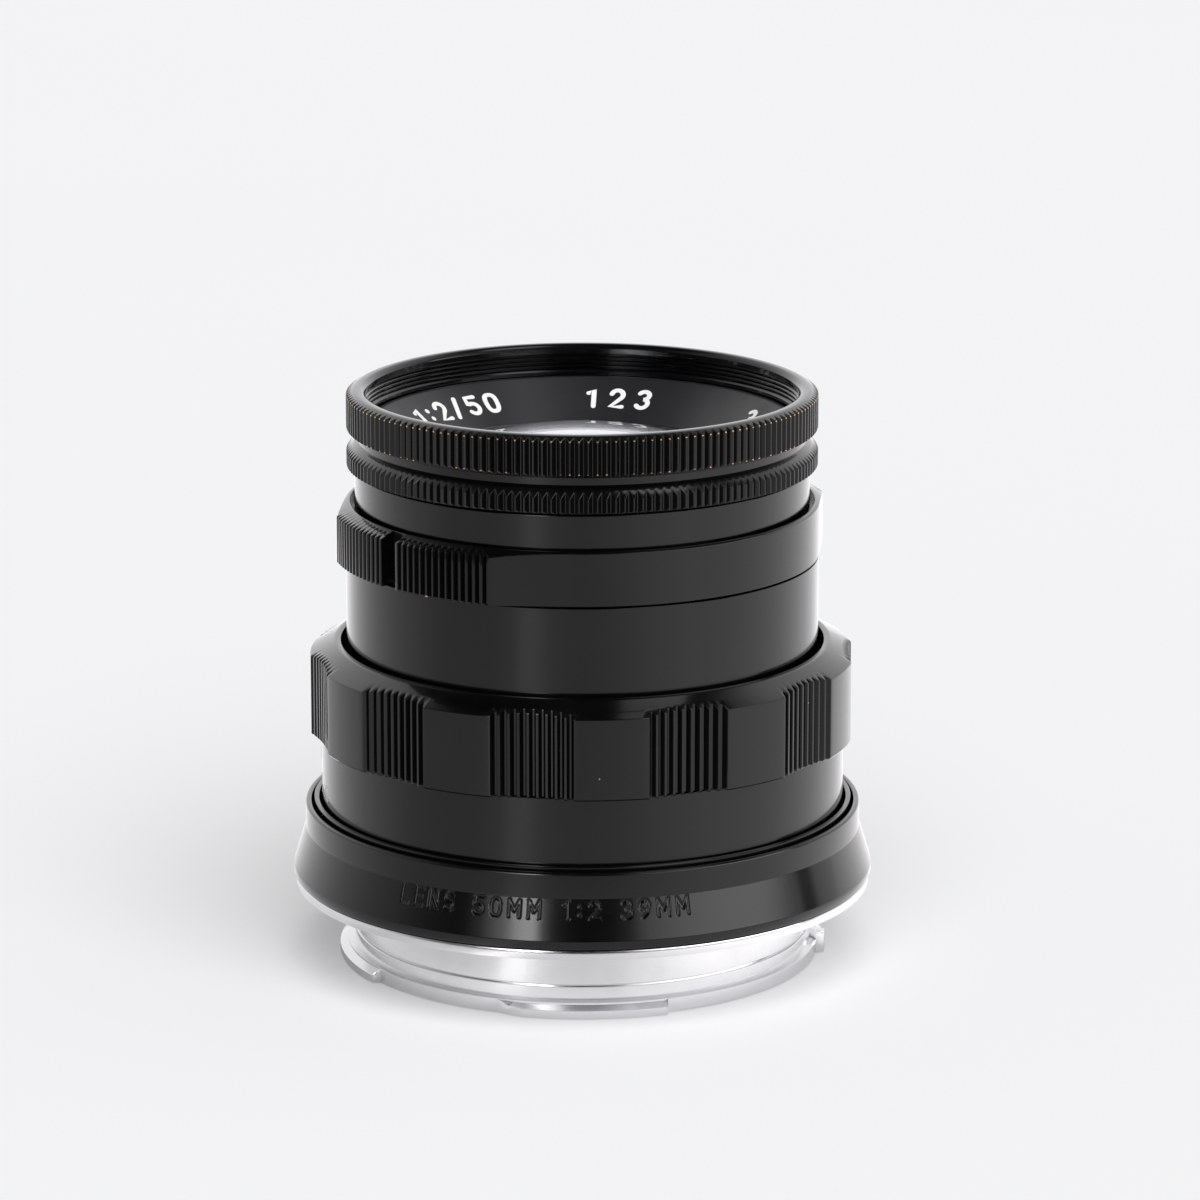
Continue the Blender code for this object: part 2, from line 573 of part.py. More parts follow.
def aperture_section(angle):
    radius = aperture_radius(angle)
    top_edge = 20.95
    return [(20.1, APERTURE_RING_BOTTOM), (radius - 0.1, APERTURE_RING_BOTTOM),
            (radius, APERTURE_RING_BOTTOM + 0.1), (radius, APERTURE_RING_TOP - 0.45 * (radius - top_edge)),
            (top_edge, APERTURE_RING_TOP), (20.75, APERTURE_RING_TOP), (20.75, 40.3), (20.1, 40.3)]


def make_aperture(body):
    angles = []
    for centre in APERTURE_GRIP_CENTRES:
        angles += [centre + APERTURE_GRIP_HALF * i / 4 for i in range(-4, 5)]
        angles += [centre + side * (APERTURE_GRIP_HALF + APERTURE_GRIP_BLEND * i / 3)
                   for side in (-1, 1) for i in range(1, 4)]
        land = math.pi - 2 * (APERTURE_GRIP_HALF + APERTURE_GRIP_BLEND)
        angles += [centre + math.pi / 2 + land * (i / 10 - 0.5) for i in range(1, 10)]
    angles = sorted(a % TURN for a in angles)
    mesh = ring_mesh("aperture_ring", aperture_section, angles)
    ring = add_piece("aperture_ring", mesh, "black_paint", body)
    drill_radially(ring, DRIVE_ANGLE, DRIVE_STATION, 0.7, 19.6, 20.85)
    mesh = box_mesh("aperture_drive_arm", (17.15, -1.2, 32.7), (17.9, 1.2, 39.7))
    arm = add_piece("aperture_drive_arm", mesh, "brass", body, rotation=(0.0, 0.0, DRIVE_ANGLE))
    combine(arm, rod_mesh("arm_hole", 0.68, 16.8, 18.5, 12), location=(0.0, 0.0, DRIVE_STATION),
            rotation=(0.0, math.pi / 2, 0.0))
    screw = rod_mesh("aperture_drive_screw", 0.5, 17.2, 20.7)
    add_piece("aperture_drive_screw", screw, "steel", body, (0.0, 0.0, DRIVE_STATION),
              (0.0, math.pi / 2, DRIVE_ANGLE))


def main():
    clear_scene()
    mount = make_body("mount_axis")
    focus = make_body("focus_axis", mount)
    head = make_body("head_axis", mount)
    aperture = make_body("aperture_axis", head, (0.0, 0.0, 0.0))
    make_mount(mount)
    make_focus(focus)
    make_head_frame(head)
    make_front(head)
    make_optics(head)
    make_iris(head, aperture)
    make_aperture(aperture)


main()
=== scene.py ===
"""Looks for the 50 mm f/2 rangefinder lens: smooth, ribbed and knurled rings, glass, scales and finishes.

Lengths are in millimetres along the optical axis (z) and out from it (r), as on a lens drawing, and become
metres when a mesh is made. Angles are polar angles about +Z: -90 degrees faces the camera, +90 the index.
"""
import json
import math

import bpy
import numpy as np
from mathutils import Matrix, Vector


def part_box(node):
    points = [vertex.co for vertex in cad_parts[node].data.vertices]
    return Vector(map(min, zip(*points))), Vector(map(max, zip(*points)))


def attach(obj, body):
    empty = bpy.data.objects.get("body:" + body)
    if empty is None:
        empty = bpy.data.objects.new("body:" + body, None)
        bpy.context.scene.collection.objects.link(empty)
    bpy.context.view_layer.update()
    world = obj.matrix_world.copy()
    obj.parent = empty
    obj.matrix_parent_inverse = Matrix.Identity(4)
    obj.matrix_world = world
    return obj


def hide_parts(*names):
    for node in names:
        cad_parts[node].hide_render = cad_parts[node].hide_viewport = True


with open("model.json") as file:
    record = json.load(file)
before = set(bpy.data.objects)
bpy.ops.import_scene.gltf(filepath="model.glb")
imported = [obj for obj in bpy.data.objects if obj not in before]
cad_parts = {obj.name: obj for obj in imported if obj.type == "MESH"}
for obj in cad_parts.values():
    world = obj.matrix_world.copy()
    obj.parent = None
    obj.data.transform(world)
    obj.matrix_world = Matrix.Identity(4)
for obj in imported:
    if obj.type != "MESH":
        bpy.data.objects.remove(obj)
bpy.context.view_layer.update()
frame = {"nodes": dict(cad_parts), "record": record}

MM = 0.001
TURN = 2 * math.pi
FRONT = math.radians(-90.0)
INDEX = math.radians(90.0)
OUTER, INNER = 288, 128              # columns round the visible and the inner rings


def top_of(node):
    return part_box(node)[1].z / MM


def bottom_of(node):
    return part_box(node)[0].z / MM


RIM = top_of("filter_ring")
TUBE_TOP = bottom_of("filter_ring") - 0.19
APERTURE_TOP = top_of("aperture_ring")
APERTURE_BOTTOM = bottom_of("aperture_ring")
BARREL_TOP = top_of("head_barrel")
BARREL_BOTTOM = bottom_of("head_barrel")
FOCUS_TOP = top_of("focus_ring")
FOCUS_BOTTOM = bottom_of("focus_ring")
SKIRT_TOP = top_of("rear_skirt")
SKIRT_BOTTOM = bottom_of("rear_skirt")


# ---- node trees

class Tree:
    """A small helper that adds nodes to a tree and links them."""

    def __init__(self, tree):
        self.nodes, self.links = tree.nodes, tree.links

    def add(self, kind, inputs=None, **settings):
        node = self.nodes.new(kind)
        for key, value in settings.items():
            setattr(node, key, value)
        self.fill(node, inputs or {})
        return node

    def fill(self, node, inputs):
        for key, value in inputs.items():
            self.put(node.inputs[key], value)

    def put(self, socket, value):
        if isinstance(value, bpy.types.NodeSocket):
            self.links.new(value, socket)
        else:
            socket.default_value = value

    def math(self, operation, a, b=0.0):
        return self.add("ShaderNodeMath", {0: a, 1: b}, operation=operation).outputs[0]

    def step(self, value, low, high):
        """0 below low and 1 above high, smooth between; low above high runs the other way."""
        node = self.add("ShaderNodeMapRange", {"Value": value, "From Min": low, "From Max": high},
                        interpolation_type="SMOOTHSTEP")
        return node.outputs["Result"]

    def mix(self, factor, a, b):
        node = self.add("ShaderNodeMix", {"Factor": factor}, data_type="RGBA")
        self.fill(node, {"A": a, "B": b})
        return node.outputs["Result"]

    def lerp(self, factor, a, b):
        node = self.add("ShaderNodeMix", {"Factor": factor}, data_type="FLOAT")
        self.fill(node, {"A": a, "B": b})
        return node.outputs["Result"]

    def place(self):
        """The point on the lens, its x, y and z, and its distance from the axis, in metres."""
        point = self.add("ShaderNodeTexCoord").outputs["Object"]
        x, y, z = self.add("ShaderNodeSeparateXYZ", {0: point}).outputs
        squares = self.math("ADD", self.math("MULTIPLY", x, x), self.math("MULTIPLY", y, y))
        return point, x, y, z, self.math("SQRT", squares)

    def noise(self, vector, scale, detail=2.0, roughness=0.5):
        node = self.add("ShaderNodeTexNoise", {"Vector": vector, "Scale": scale, "Detail": detail,
                                               "Roughness": roughness})
        return node.outputs["Fac"]

    def bump(self, height, distance, strength, before=None):
        inputs = {"Height": height, "Distance": distance, "Strength": strength}
        if before is not None:
            inputs["Normal"] = before
        return self.add("ShaderNodeBump", inputs).outputs["Normal"]


def new_material(name):
    mat = bpy.data.materials.new(name)
    mat.use_nodes = True
    tree = Tree(mat.node_tree)
    return mat, tree, mat.node_tree.nodes["Principled BSDF"]


BLACK = (0.0014, 0.0014, 0.0015, 1.0)
WORN_BRASS = (0.80, 0.54, 0.26, 1.0)
WHITE_FILL = (0.96, 0.96, 0.95, 1.0)
RED_FILL = (0.55, 0.06, 0.03, 1.0)
FLECK_GREY = (0.4, 0.4, 0.4, 1.0)
PAINT_ROUGHNESS = 0.14


def turning_lines(tree, z, radius, scale):
    """Fine machining marks that run round the axis: noise that varies along the profile only."""
    along = tree.add("ShaderNodeCombineXYZ", {0: radius, 1: z, 2: 0.0}).outputs[0]
    return tree.noise(along, scale, 3.0, 0.7)


def black_paint(name, wear=()):
    """Gloss black paint over brass. wear holds (radius, lowest z, highest z, amount): bands in which the
    paint has rubbed off outside that radius."""
    mat, tree, shader = new_material(name)
    point, _, _, z, radius = tree.place()
    patches = tree.noise(point, 140.0, 4.0, 0.6)
    speckle = tree.noise(point, 4200.0, 2.0)
    colour = tree.mix(tree.step(patches, 0.35, 0.7), BLACK, (0.0024, 0.0024, 0.0026, 1.0))
    metal = None
    for reach, low, high, amount in wear:
        outside = tree.step(radius, (reach - 0.015) * MM, reach * MM)
        inside_band = tree.math("MULTIPLY", tree.step(z, (low - 0.02) * MM, low * MM),
                                tree.step(z, (high + 0.02) * MM, high * MM))
        rubbed = tree.step(tree.noise(point, 700.0, 3.0, 0.7), 0.72 - 0.5 * amount, 0.8 - 0.5 * amount)
        mask = tree.math("MULTIPLY", tree.math("MULTIPLY", outside, inside_band), rubbed)
        metal = mask if metal is None else tree.math("MAXIMUM", metal, mask)
    dust = tree.add("ShaderNodeTexVoronoi", {"Vector": point, "Scale": 420.0}, feature="F1")
    keep = tree.step(tree.noise(point, 260.0, 1.0), 0.66, 0.7)
    fleck = tree.math("MULTIPLY", tree.step(dust.outputs["Distance"], 0.03, 0.018), keep)
    if metal is not None:
        colour = tree.mix(metal, colour, WORN_BRASS)
        tree.fill(shader, {"Metallic": metal})
    rough = tree.lerp(patches, PAINT_ROUGHNESS, PAINT_ROUGHNESS + 0.12)
    skin = tree.bump(tree.noise(point, 620.0, 2.0), 0.004 * MM, 0.5)
    lines = tree.bump(turning_lines(tree, z, radius, 5200.0), 0.002 * MM, 0.35, skin)
    tree.fill(shader, {"Base Color": tree.mix(fleck, colour, FLECK_GREY),
                       "Roughness": tree.lerp(fleck, rough, 0.9), "IOR": 1.3,
                       "Coat Weight": 1.0, "Coat Roughness": 0.05, "Coat IOR": 1.3, "Coat Normal": skin,
                       "Normal": tree.bump(speckle, 0.0012 * MM, 0.5, lines)})
    return mat


def matt_black(name, rough=0.55, line_scale=3800.0):
    """Black anodised aluminium with turning lines."""
    mat, tree, shader = new_material(name)
    point, _, _, z, radius = tree.place()
    lines = turning_lines(tree, z, radius, line_scale)
    handled = tree.noise(point, 400.0, 3.0)
    tree.fill(shader, {"Base Color": tree.mix(lines, (0.012, 0.012, 0.013, 1.0), (0.022, 0.022, 0.024, 1.0)),
                       "Roughness": tree.lerp(handled, rough - 0.12, rough + 0.08),
                       "Normal": tree.bump(lines, 0.006 * MM, 0.6)})
    return mat


def turned_metal(name, colour, rough, line_depth, stain=0.15, foot=1.0):
    """Bare or plated metal: turning lines round the axis, and faint clouds of handling marks. foot is how
    bright the lowest 1.5 mm are: painted shade, darker where the ring faces the shaded floor at its foot."""
    mat, tree, shader = new_material(name)
    point, _, _, z, radius = tree.place()
    lines = turning_lines(tree, z, radius, 4200.0)
    clouds = tree.noise(point, 190.0, 5.0, 0.62)
    dull = tuple(c * (1.0 - stain) for c in colour) + (1.0,)
    tone = tree.mix(tree.step(clouds, 0.4, 0.75), colour + (1.0,), dull)
    if foot < 1.0:
        # painted shade: the lowest 1.5 mm are darkened to stand for the shaded floor they reflect
        painted_foot_shade = tuple(c * foot for c in colour) + (1.0,)
        tone = tree.mix(tree.step(z, 1.6 * MM, 1.4 * MM), tone, painted_foot_shade)
    fine = tree.bump(lines, line_depth * MM, 0.9)
    tree.fill(shader, {"Base Color": tone, "Metallic": 1.0,
                       "Roughness": tree.lerp(clouds, rough, rough + 0.14),
                       "Normal": tree.bump(tree.noise(point, 2600.0, 3.0), 0.0015 * MM, 0.5, fine)})
    return mat


def coated_glass(name, tint, ior):
    """Clear glass with an uneven tint and a few specks of dust."""
    mat, tree, shader = new_material(name)
    point = tree.place()[0]
    dust = tree.add("ShaderNodeTexVoronoi", {"Vector": point, "Scale": 600.0}, feature="F1")
    fleck = tree.step(dust.outputs["Distance"], 0.04, 0.02)
    tone = tree.mix(tree.noise(point, 60.0), tint + (1.0,), (0.97, 0.98, 1.0, 1.0))
    tree.fill(shader, {"Base Color": tone, "Roughness": tree.math("MULTIPLY", fleck, 0.12),
                       "Transmission Weight": 1.0, "IOR": ior})
    return mat


def enamel(name, colour):
    """Enamel wiped into an engraving: slightly uneven in tone and surface."""
    mat, tree, shader = new_material(name)
    point = tree.place()[0]
    shade = tuple(c * 0.86 for c in colour[:3]) + (1.0,)
    tree.fill(shader, {"Base Color": tree.mix(tree.noise(point, 3200.0, 3.0), shade, colour),
                       "Roughness": tree.lerp(tree.noise(point, 1500.0), 0.5, 0.7),
                       "Normal": tree.bump(tree.noise(point, 5200.0, 2.0), 0.004 * MM, 0.6)})
    return mat


def deep_red(name):
    """The clear red lacquer of the index bead."""
    mat, tree, shader = new_material(name)
    point = tree.place()[0]
    swirl = tree.noise(point, 900.0, 3.0)
    tree.fill(shader, {"Base Color": tree.mix(swirl, (0.42, 0.006, 0.01, 1.0), (0.6, 0.02, 0.02, 1.0)),
                       "Roughness": tree.lerp(swirl, 0.12, 0.25), "Coat Weight": 0.6,
                       "Normal": tree.bump(swirl, 0.004 * MM, 0.3)})
    return mat


# ---- meshes

def finish_mesh(name, points, faces, sharp=30.0):
    """A mesh from points in mm, smooth except at edges sharper than that many degrees."""
    mesh = bpy.data.meshes.new(name)
    mesh.from_pydata((np.asarray(points) * MM).tolist(), [], faces)
    mesh.validate()
    mesh.shade_smooth()
    mesh.set_sharp_from_angle(angle=math.radians(sharp))
    piece = bpy.data.objects.new(name, mesh)
    bpy.context.scene.collection.objects.link(piece)
    shading = piece.modifiers.new("true_faces", "WEIGHTED_NORMAL")
    shading.keep_sharp = True
    return piece


def soften(points, radius, steps=3):
    """Round the corners of a closed (r, z) outline, which runs with the material on its left."""
    out = []
    count = len(points)
    for i in range(count):
        here = np.array(points[i], float)
        before, after = np.array(points[i - 1], float), np.array(points[(i + 1) % count], float)
        to_before, to_after = before - here, after - here
        reach = min(radius, 0.42 * np.linalg.norm(to_before), 0.42 * np.linalg.norm(to_after))
        if reach < 0.004:
            out.append(tuple(here))
            continue
        a = here + to_before / np.linalg.norm(to_before) * reach
        b = here + to_after / np.linalg.norm(to_after) * reach
        for k in range(steps + 1):
            t = k / steps
            out.append(tuple((1 - t) ** 2 * a + 2 * t * (1 - t) * here + t * t * b))
    return out


def around(count):
    return [TURN * i / count for i in range(count)]


def turned(name, outline, columns=OUTER, sharp=30.0):
    """Carry a closed outline round the axis. columns is a number of them, or a list of (angle, outline)
    whose outlines are of equal length."""
    if isinstance(columns, int):
        columns = [(angle, outline) for angle in around(columns)]
    angles = np.array([c[0] for c in columns])
    shape = np.array([c[1] for c in columns], float)
    r, z = shape[:, :, 0], shape[:, :, 1]
    points = np.stack([r * np.cos(angles)[:, None], r * np.sin(angles)[:, None], z], axis=2)
    rings, size = len(columns), shape.shape[1]
    faces = []
    for i in range(rings):
        here, there = i * size, (i + 1) % rings * size
        faces += [(here + j, there + j, there + (j + 1) % size, here + (j + 1) % size) for j in range(size)]
    return finish_mesh(name, points.reshape(-1, 3), faces, sharp)


def disc(name, profile):
    """A solid turned piece: the profile starts on the axis at the top and ends on it at the bottom."""
    middle = np.array(profile[1:-1], float)
    angles = np.array(around(INNER))
    ring = np.stack([np.outer(np.cos(angles), middle[:, 0]), np.outer(np.sin(angles), middle[:, 0]),
                     np.tile(middle[:, 1], (INNER, 1))], axis=2).reshape(-1, 3)
    size = len(middle)
    points = np.vstack([ring, [[0.0, 0.0, profile[0][1]], [0.0, 0.0, profile[-1][1]]]])
    top, bottom = len(ring), len(ring) + 1
    faces = []
    for i in range(INNER):
        here, there = i * size, (i + 1) % INNER * size
        faces.append((top, here, there))
        faces += [(here + j, here + j + 1, there + j + 1, there + j) for j in range(size - 1)]
        faces.append((bottom, there + size - 1, here + size - 1))
    return finish_mesh(name, points, faces)


def show(piece, body, material, slot, *nodes):
    """Give a piece its finish and its body, and hide the plain nodes that it stands for."""
    piece.data.materials.clear()
    piece.data.materials.append(material)
    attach(piece, body)
    if nodes:
        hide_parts(*nodes)


def groove_columns(centre, pitch, count, opening, floor):
    """(angle, depth) across V-grooves with a narrow floor: depth is 0 on a land and 1 on the floor."""
    out = []
    for i in range(count):
        middle = centre + (i - (count - 1) / 2) * pitch
        out += [(middle - opening / 2, 0.0), (middle - floor / 2, 1.0), (middle + floor / 2, 1.0),
                (middle + opening / 2, 0.0)]
        if i < count - 1:
            out.append((middle + pitch / 2, 0.0))
    return out


def angle_between(a, b):
    """How far angle a is past angle b, from -pi to pi."""
    return (a - b + math.pi) % TURN - math.pi


def fill_columns(marked, step):
    """Sort (angle, depth) columns and fill the long gaps between them with columns of depth 0."""
    marked = sorted((a % TURN, d) for a, d in marked)
    out = []
    for (a, d), (b, e) in zip(marked, marked[1:] + [(marked[0][0] + TURN, marked[0][1])]):
        out.append((a, d))
        extra = int((b - a) / step)
        if d == 0.0 and e == 0.0 and extra > 0:
            out += [(a + (b - a) * k / (extra + 1), 0.0) for k in range(1, extra + 1)]
    return out


# ---- lettering

def arc(cx, cy, rx, ry, start, end, count=10):
    angles = np.radians(np.linspace(start, end, count + 1))
    return [(cx + rx * math.cos(a), cy + ry * math.sin(a)) for a in angles]


def box_oval(cx, cy, rx, ry):
    """A round-cornered box, as engraved noughts have."""
    out = []
    for a in np.radians(np.linspace(90, 450, 25)):
        c, s = math.cos(a), math.sin(a)
        out.append((cx + rx * math.copysign(abs(c) ** 0.75, c), cy + ry * math.copysign(abs(s) ** 0.75, s)))
    return out


# Each sign is (advance width, strokes), in units of the height
GLYPHS = {
    "0": (0.6, [box_oval(0.3, 0.5, 0.28, 0.5)]),
    "1": (0.42, [[(0.06, 0.8), (0.3, 1.0), (0.3, 0.0)]]),
    "2": (0.6, [arc(0.3, 0.71, 0.27, 0.29, 168, -32) + [(0.03, 0.0), (0.6, 0.0)]]),
    "3": (0.6, [arc(0.29, 0.76, 0.25, 0.24, 150, -90) + arc(0.29, 0.27, 0.29, 0.27, 80, -150)]),
    "4": (0.62, [[(0.44, 0.0), (0.44, 1.0), (0.02, 0.27), (0.62, 0.27)]]),
    "5": (0.6, [[(0.55, 1.0), (0.1, 1.0), (0.07, 0.56)] + arc(0.29, 0.31, 0.29, 0.31, 118, -148)]),
    "6": (0.6, [arc(0.3, 0.3, 0.28, 0.3, 150, 510, 18), [(0.05, 0.42), (0.16, 0.74), (0.42, 1.0)]]),
    "7": (0.58, [[(0.02, 1.0), (0.56, 1.0), (0.2, 0.0)]]),
    "8": (0.6, [arc(0.3, 0.76, 0.24, 0.24, 270, 630, 18), arc(0.3, 0.27, 0.28, 0.27, 90, 450, 18)]),
    "9": (0.6, [arc(0.3, 0.7, 0.28, 0.3, 330, 690, 18), [(0.55, 0.58), (0.44, 0.26), (0.18, 0.0)]]),
    ":": (0.24, [[(0.12, 0.7), (0.12, 0.74)], [(0.12, 0.22), (0.12, 0.26)]]),
    ".": (0.22, [[(0.1, 0.0), (0.1, 0.03)]]),
    "/": (0.42, [[(0.02, -0.05), (0.38, 1.05)]]),
    "m": (0.86, [[(0.06, 0.0), (0.06, 0.68)], arc(0.25, 0.5, 0.18, 0.18, 170, 0, 6) + [(0.43, 0.0)],
                 arc(0.61, 0.5, 0.18, 0.18, 180, 0, 6) + [(0.79, 0.0)]]),
    "oo": (1.1, [arc(0.28, 0.4, 0.24, 0.24, 0, 360, 16), arc(0.8, 0.4, 0.24, 0.24, 180, 540, 16)]),
    "L": (0.55, [[(0.05, 1.0), (0.05, 0.0), (0.52, 0.0)]]),
    "E": (0.55, [[(0.52, 1.0), (0.05, 1.0), (0.05, 0.0), (0.52, 0.0)], [(0.05, 0.5), (0.44, 0.5)]]),
    "N": (0.62, [[(0.05, 0.0), (0.05, 1.0), (0.57, 0.0), (0.57, 1.0)]]),
    "M": (0.74, [[(0.05, 0.0), (0.05, 1.0), (0.37, 0.35), (0.69, 1.0), (0.69, 0.0)]]),
    "S": (0.58, [arc(0.3, 0.75, 0.24, 0.25, 30, 235) + arc(0.28, 0.26, 0.26, 0.26, 65, -150)]),
    " ": (0.4, []),
}


def lay_out(text, height, gap=0.24):
    """The strokes of a line of signs, centred on the origin, in mm. text is a word or a list of signs."""
    strokes, cursor = [], 0.0
    for sign in text:
        width, paths = GLYPHS[sign]
        strokes += [[(cursor + x, y - 0.5) for x, y in path] for path in paths]
        cursor += width + gap
    middle = (cursor - gap) / 2
    return [[((x - middle) * height, y * height) for x, y in path] for path in strokes]


def stroke_outline(path, width):
    """The outline of a round-ended stroke, and the faces that fill it."""
    p = np.array(path, float)
    ahead = np.gradient(p, axis=0)
    ahead /= np.linalg.norm(ahead, axis=1)[:, None]
    side = np.stack([-ahead[:, 1], ahead[:, 0]], axis=1) * width / 2
    left, right = p + side, p - side
    half = width / 2
    turn = np.radians(np.linspace(90, -90, 7))[1:-1]

    def cap(point, forward):
        across = np.array([-forward[1], forward[0]])
        return [point + half * (forward * math.cos(a) + across * math.sin(a)) for a in turn]

    count = len(p)
    outline = [*left, *cap(p[-1], ahead[-1]), *right[::-1], *cap(p[0], -ahead[0])]
    size = len(outline)
    last_right = count + len(turn)
    faces = [(i, i + 1, last_right + count - 2 - i, last_right + count - 1 - i) for i in range(count - 1)]
    faces.append(tuple(range(count - 1, last_right + 1)))
    faces.append(tuple(range(last_right + count - 1, size)) + (0,))
    return np.array(outline), faces


def lettering(name, lines, wrap, width, body, material):
    """Strokes laid on a curved face. lines is a list of strokes, and wrap turns (across, up, out) into a
    point. Strokes that cross stand at slightly different heights."""
    points, faces = [], []
    for index, path in enumerate(lines):
        outline, filled = stroke_outline(path, width)
        size, base = len(outline), len(points)
        lift = 0.015 + 0.002 * (index % 5)
        points += [wrap(u, v, lift) for u, v in outline]
        points += [wrap(u, v, -0.03) for u, v in outline]
        faces += [tuple(base + i for i in face)[::-1] for face in filled]
        faces += [tuple(base + size + i for i in face) for face in filled]
        faces += [(base + i, base + (i + 1) % size, base + size + (i + 1) % size, base + size + i)
                  for i in range(size)]
    show(finish_mesh(name, points, faces, 40.0), body, material, None)


def wrapper(radius, station, slope, centre, inside=False):
    """Maps a flat label onto a cone about the axis: slope is how far the face leans out with height, in
    degrees; a label inside the ring reads the other way round."""
    lean = math.radians(slope)
    way = -1.0 if inside else 1.0

    def wrap(u, v, out):
        r = radius + v * math.sin(lean) + way * out * math.cos(lean)
        z = station + v * math.cos(lean) - way * out * math.sin(lean)
        angle = centre + way * u / radius
        return (r * math.cos(angle), r * math.sin(angle), z)

    return wrap


def moved(strokes, across, up=0.0):
    return [[(x + across, y + up) for x, y in path] for path in strokes]


# ---- bayonet and skirt

# start, end, length of the leading and of the trailing ramp, in degrees
LUGS = ((-104.0, -70.0, 6.4, 0.8), (-6.0, 22.0, 1.0, 1.2), (75.0, 115.0, 1.2, 1.2), (158.0, 211.6, 1.2, 1.0))
RING_RADIUS, LUG_RADIUS = 21.3, 22.0
STOP_BLOCK = (-7.0, -3.6)            # a stop that stands above the second lug


def lug_reach(degrees):
    """How far out the ring stands at an angle: 0 between lugs, 1 on a lug, and in between on its ramps."""
    reach = 0.0
    for start, end, lead, trail in LUGS:
        along = (degrees - start + lead) % 360.0
        length = end - start + lead + trail
        if along <= length:
            reach = max(reach, min(1.0, along / lead, (length - along) / trail))
    return reach


def make_bayonet(chrome):
    marks = {round(i * 360.0 / OUTER, 4) for i in range(OUTER)}
    for start, end, lead, trail in LUGS:
        for mark in (start - lead, start - lead / 2, start, end, end + trail / 2, end + trail):
            marks.add(round(mark % 360.0, 4))
    for mark in STOP_BLOCK:
        marks |= {round((mark - 0.25) % 360.0, 4), round((mark + 0.25) % 360.0, 4)}
    columns = []
    for degrees in sorted(marks):
        reach = lug_reach(degrees)
        lug = RING_RADIUS + (LUG_RADIUS - RING_RADIUS) * reach
        block = STOP_BLOCK[0] < (degrees if degrees < 180.0 else degrees - 360.0) < STOP_BLOCK[1]
        top = 1.28 - 0.46 * reach
        foot = 1.31 - 0.15 * reach
        rise = 1.5
        if block:
            top, foot, rise = 2.0, 2.1, 2.35
        columns.append((math.radians(degrees), [
            (18.9, 7.44), (18.9, 0.55), (18.98, 0.3), (19.2, 0.06), (19.35, 0.0), (lug - 0.14, 0.0),
            (lug - 0.04, 0.04), (lug, 0.14), (lug, top - 0.05), (lug - 0.05 * reach, top),
            (RING_RADIUS, foot - 0.02), (RING_RADIUS - 0.02, foot), (RING_RADIUS - 0.02, rise - 0.17),
            (RING_RADIUS - 0.05, rise - 0.15), (20.65, rise), (20.65, 2.5),
            (20.6, 2.56), (20.38, 2.58), (20.38, 2.68), (20.46, 2.7), (20.5, 2.76),
            (20.5, 6.84), (20.56, 6.9), (22.55, 6.9), (22.6, 6.85), (22.6, 6.7),
            (22.66, 6.64), (25.78, 6.64), (25.87, 6.68), (25.9, 6.76), (25.9, 7.38), (25.86, 7.46),
            (25.78, 7.5), (19.0, 7.5)]))
    show(turned("bayonet_chrome", None, columns), "mount", chrome, "chrome", "bayonet_mount")


def make_mount_screws(steel):
    """Countersunk slotted screws, seen in the flange from behind."""
    for i in range(1, 5):
        node = "mount_screw_%d" % i
        low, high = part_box(node)
        x, y = (low.x + high.x) / 2 / MM, (low.y + high.y) / 2 / MM
        face, half, slot, depth = low.z / MM, 1.1, 0.14, 0.32
        points, faces = [], []
        count = 32
        rims = ((half, face), (half, face + 0.08), (0.6, face + 0.56), (0.6, high.z / MM))
        side = around(count)
        for radius, z in rims:
            points += [(x + radius * math.cos(a), y + radius * math.sin(a), z) for a in side]
        for ring in range(len(rims) - 1):
            here, above = ring * count, (ring + 1) * count
            faces += [(here + k, here + (k + 1) % count, above + (k + 1) % count, above + k)
                      for k in range(count)]
        faces.append(tuple(range(3 * count, 4 * count)))
        limit = math.pi / 2 - math.asin(slot / half) - 0.05
        right, left = [sorted((k for k in range(count) if abs(angle_between(side[k], facing)) < limit),
                              key=lambda k: angle_between(side[k], facing)) for facing in (0.0, math.pi)]
        ends = [k for k in range(count) if k not in right and k not in left]
        upper = [k for k in ends if side[k] < math.pi]
        lower = [k for k in ends if side[k] >= math.pi]
        reach = math.sqrt(half * half - slot * slot)
        a, b, c, d, e, f, g, h = range(len(points), len(points) + 8)
        for sx in (1, -1):
            for sy in (-1, 1):
                points += [(x + sx * slot, y + sy * reach, z) for z in (face, face + depth)]
        # corners: a right-low, c right-high, e left-low, g left-high; b, d, f, h lie on the slot's floor
        faces += [tuple([a, *right, c][::-1]), tuple([g, *left, e][::-1]), (a, c, d, b), (e, f, h, g),
                  (b, d, h, f), (c, right[-1], *upper, left[0], g, h, d),
                  (e, left[-1], *lower, right[0], a, b, f)]
        piece = finish_mesh("flange_screw_%d" % i, points, faces)
        show(piece, "mount", steel, "steel", node)


# The skirt narrows by CONE_DROP over CONE_RISE above its widest edge
SKIRT_RADIUS, CONE_FOOT, CONE_DROP, CONE_RISE = 26.1, 8.36, 1.1, 3.64
SKIRT_SLOPE = math.degrees(math.atan2(CONE_DROP, CONE_RISE))
ENGRAVING_CENTRE = FRONT + math.radians(-8.4)


def cone_radius(z):
    return SKIRT_RADIUS - (z - CONE_FOOT) * CONE_DROP / CONE_RISE


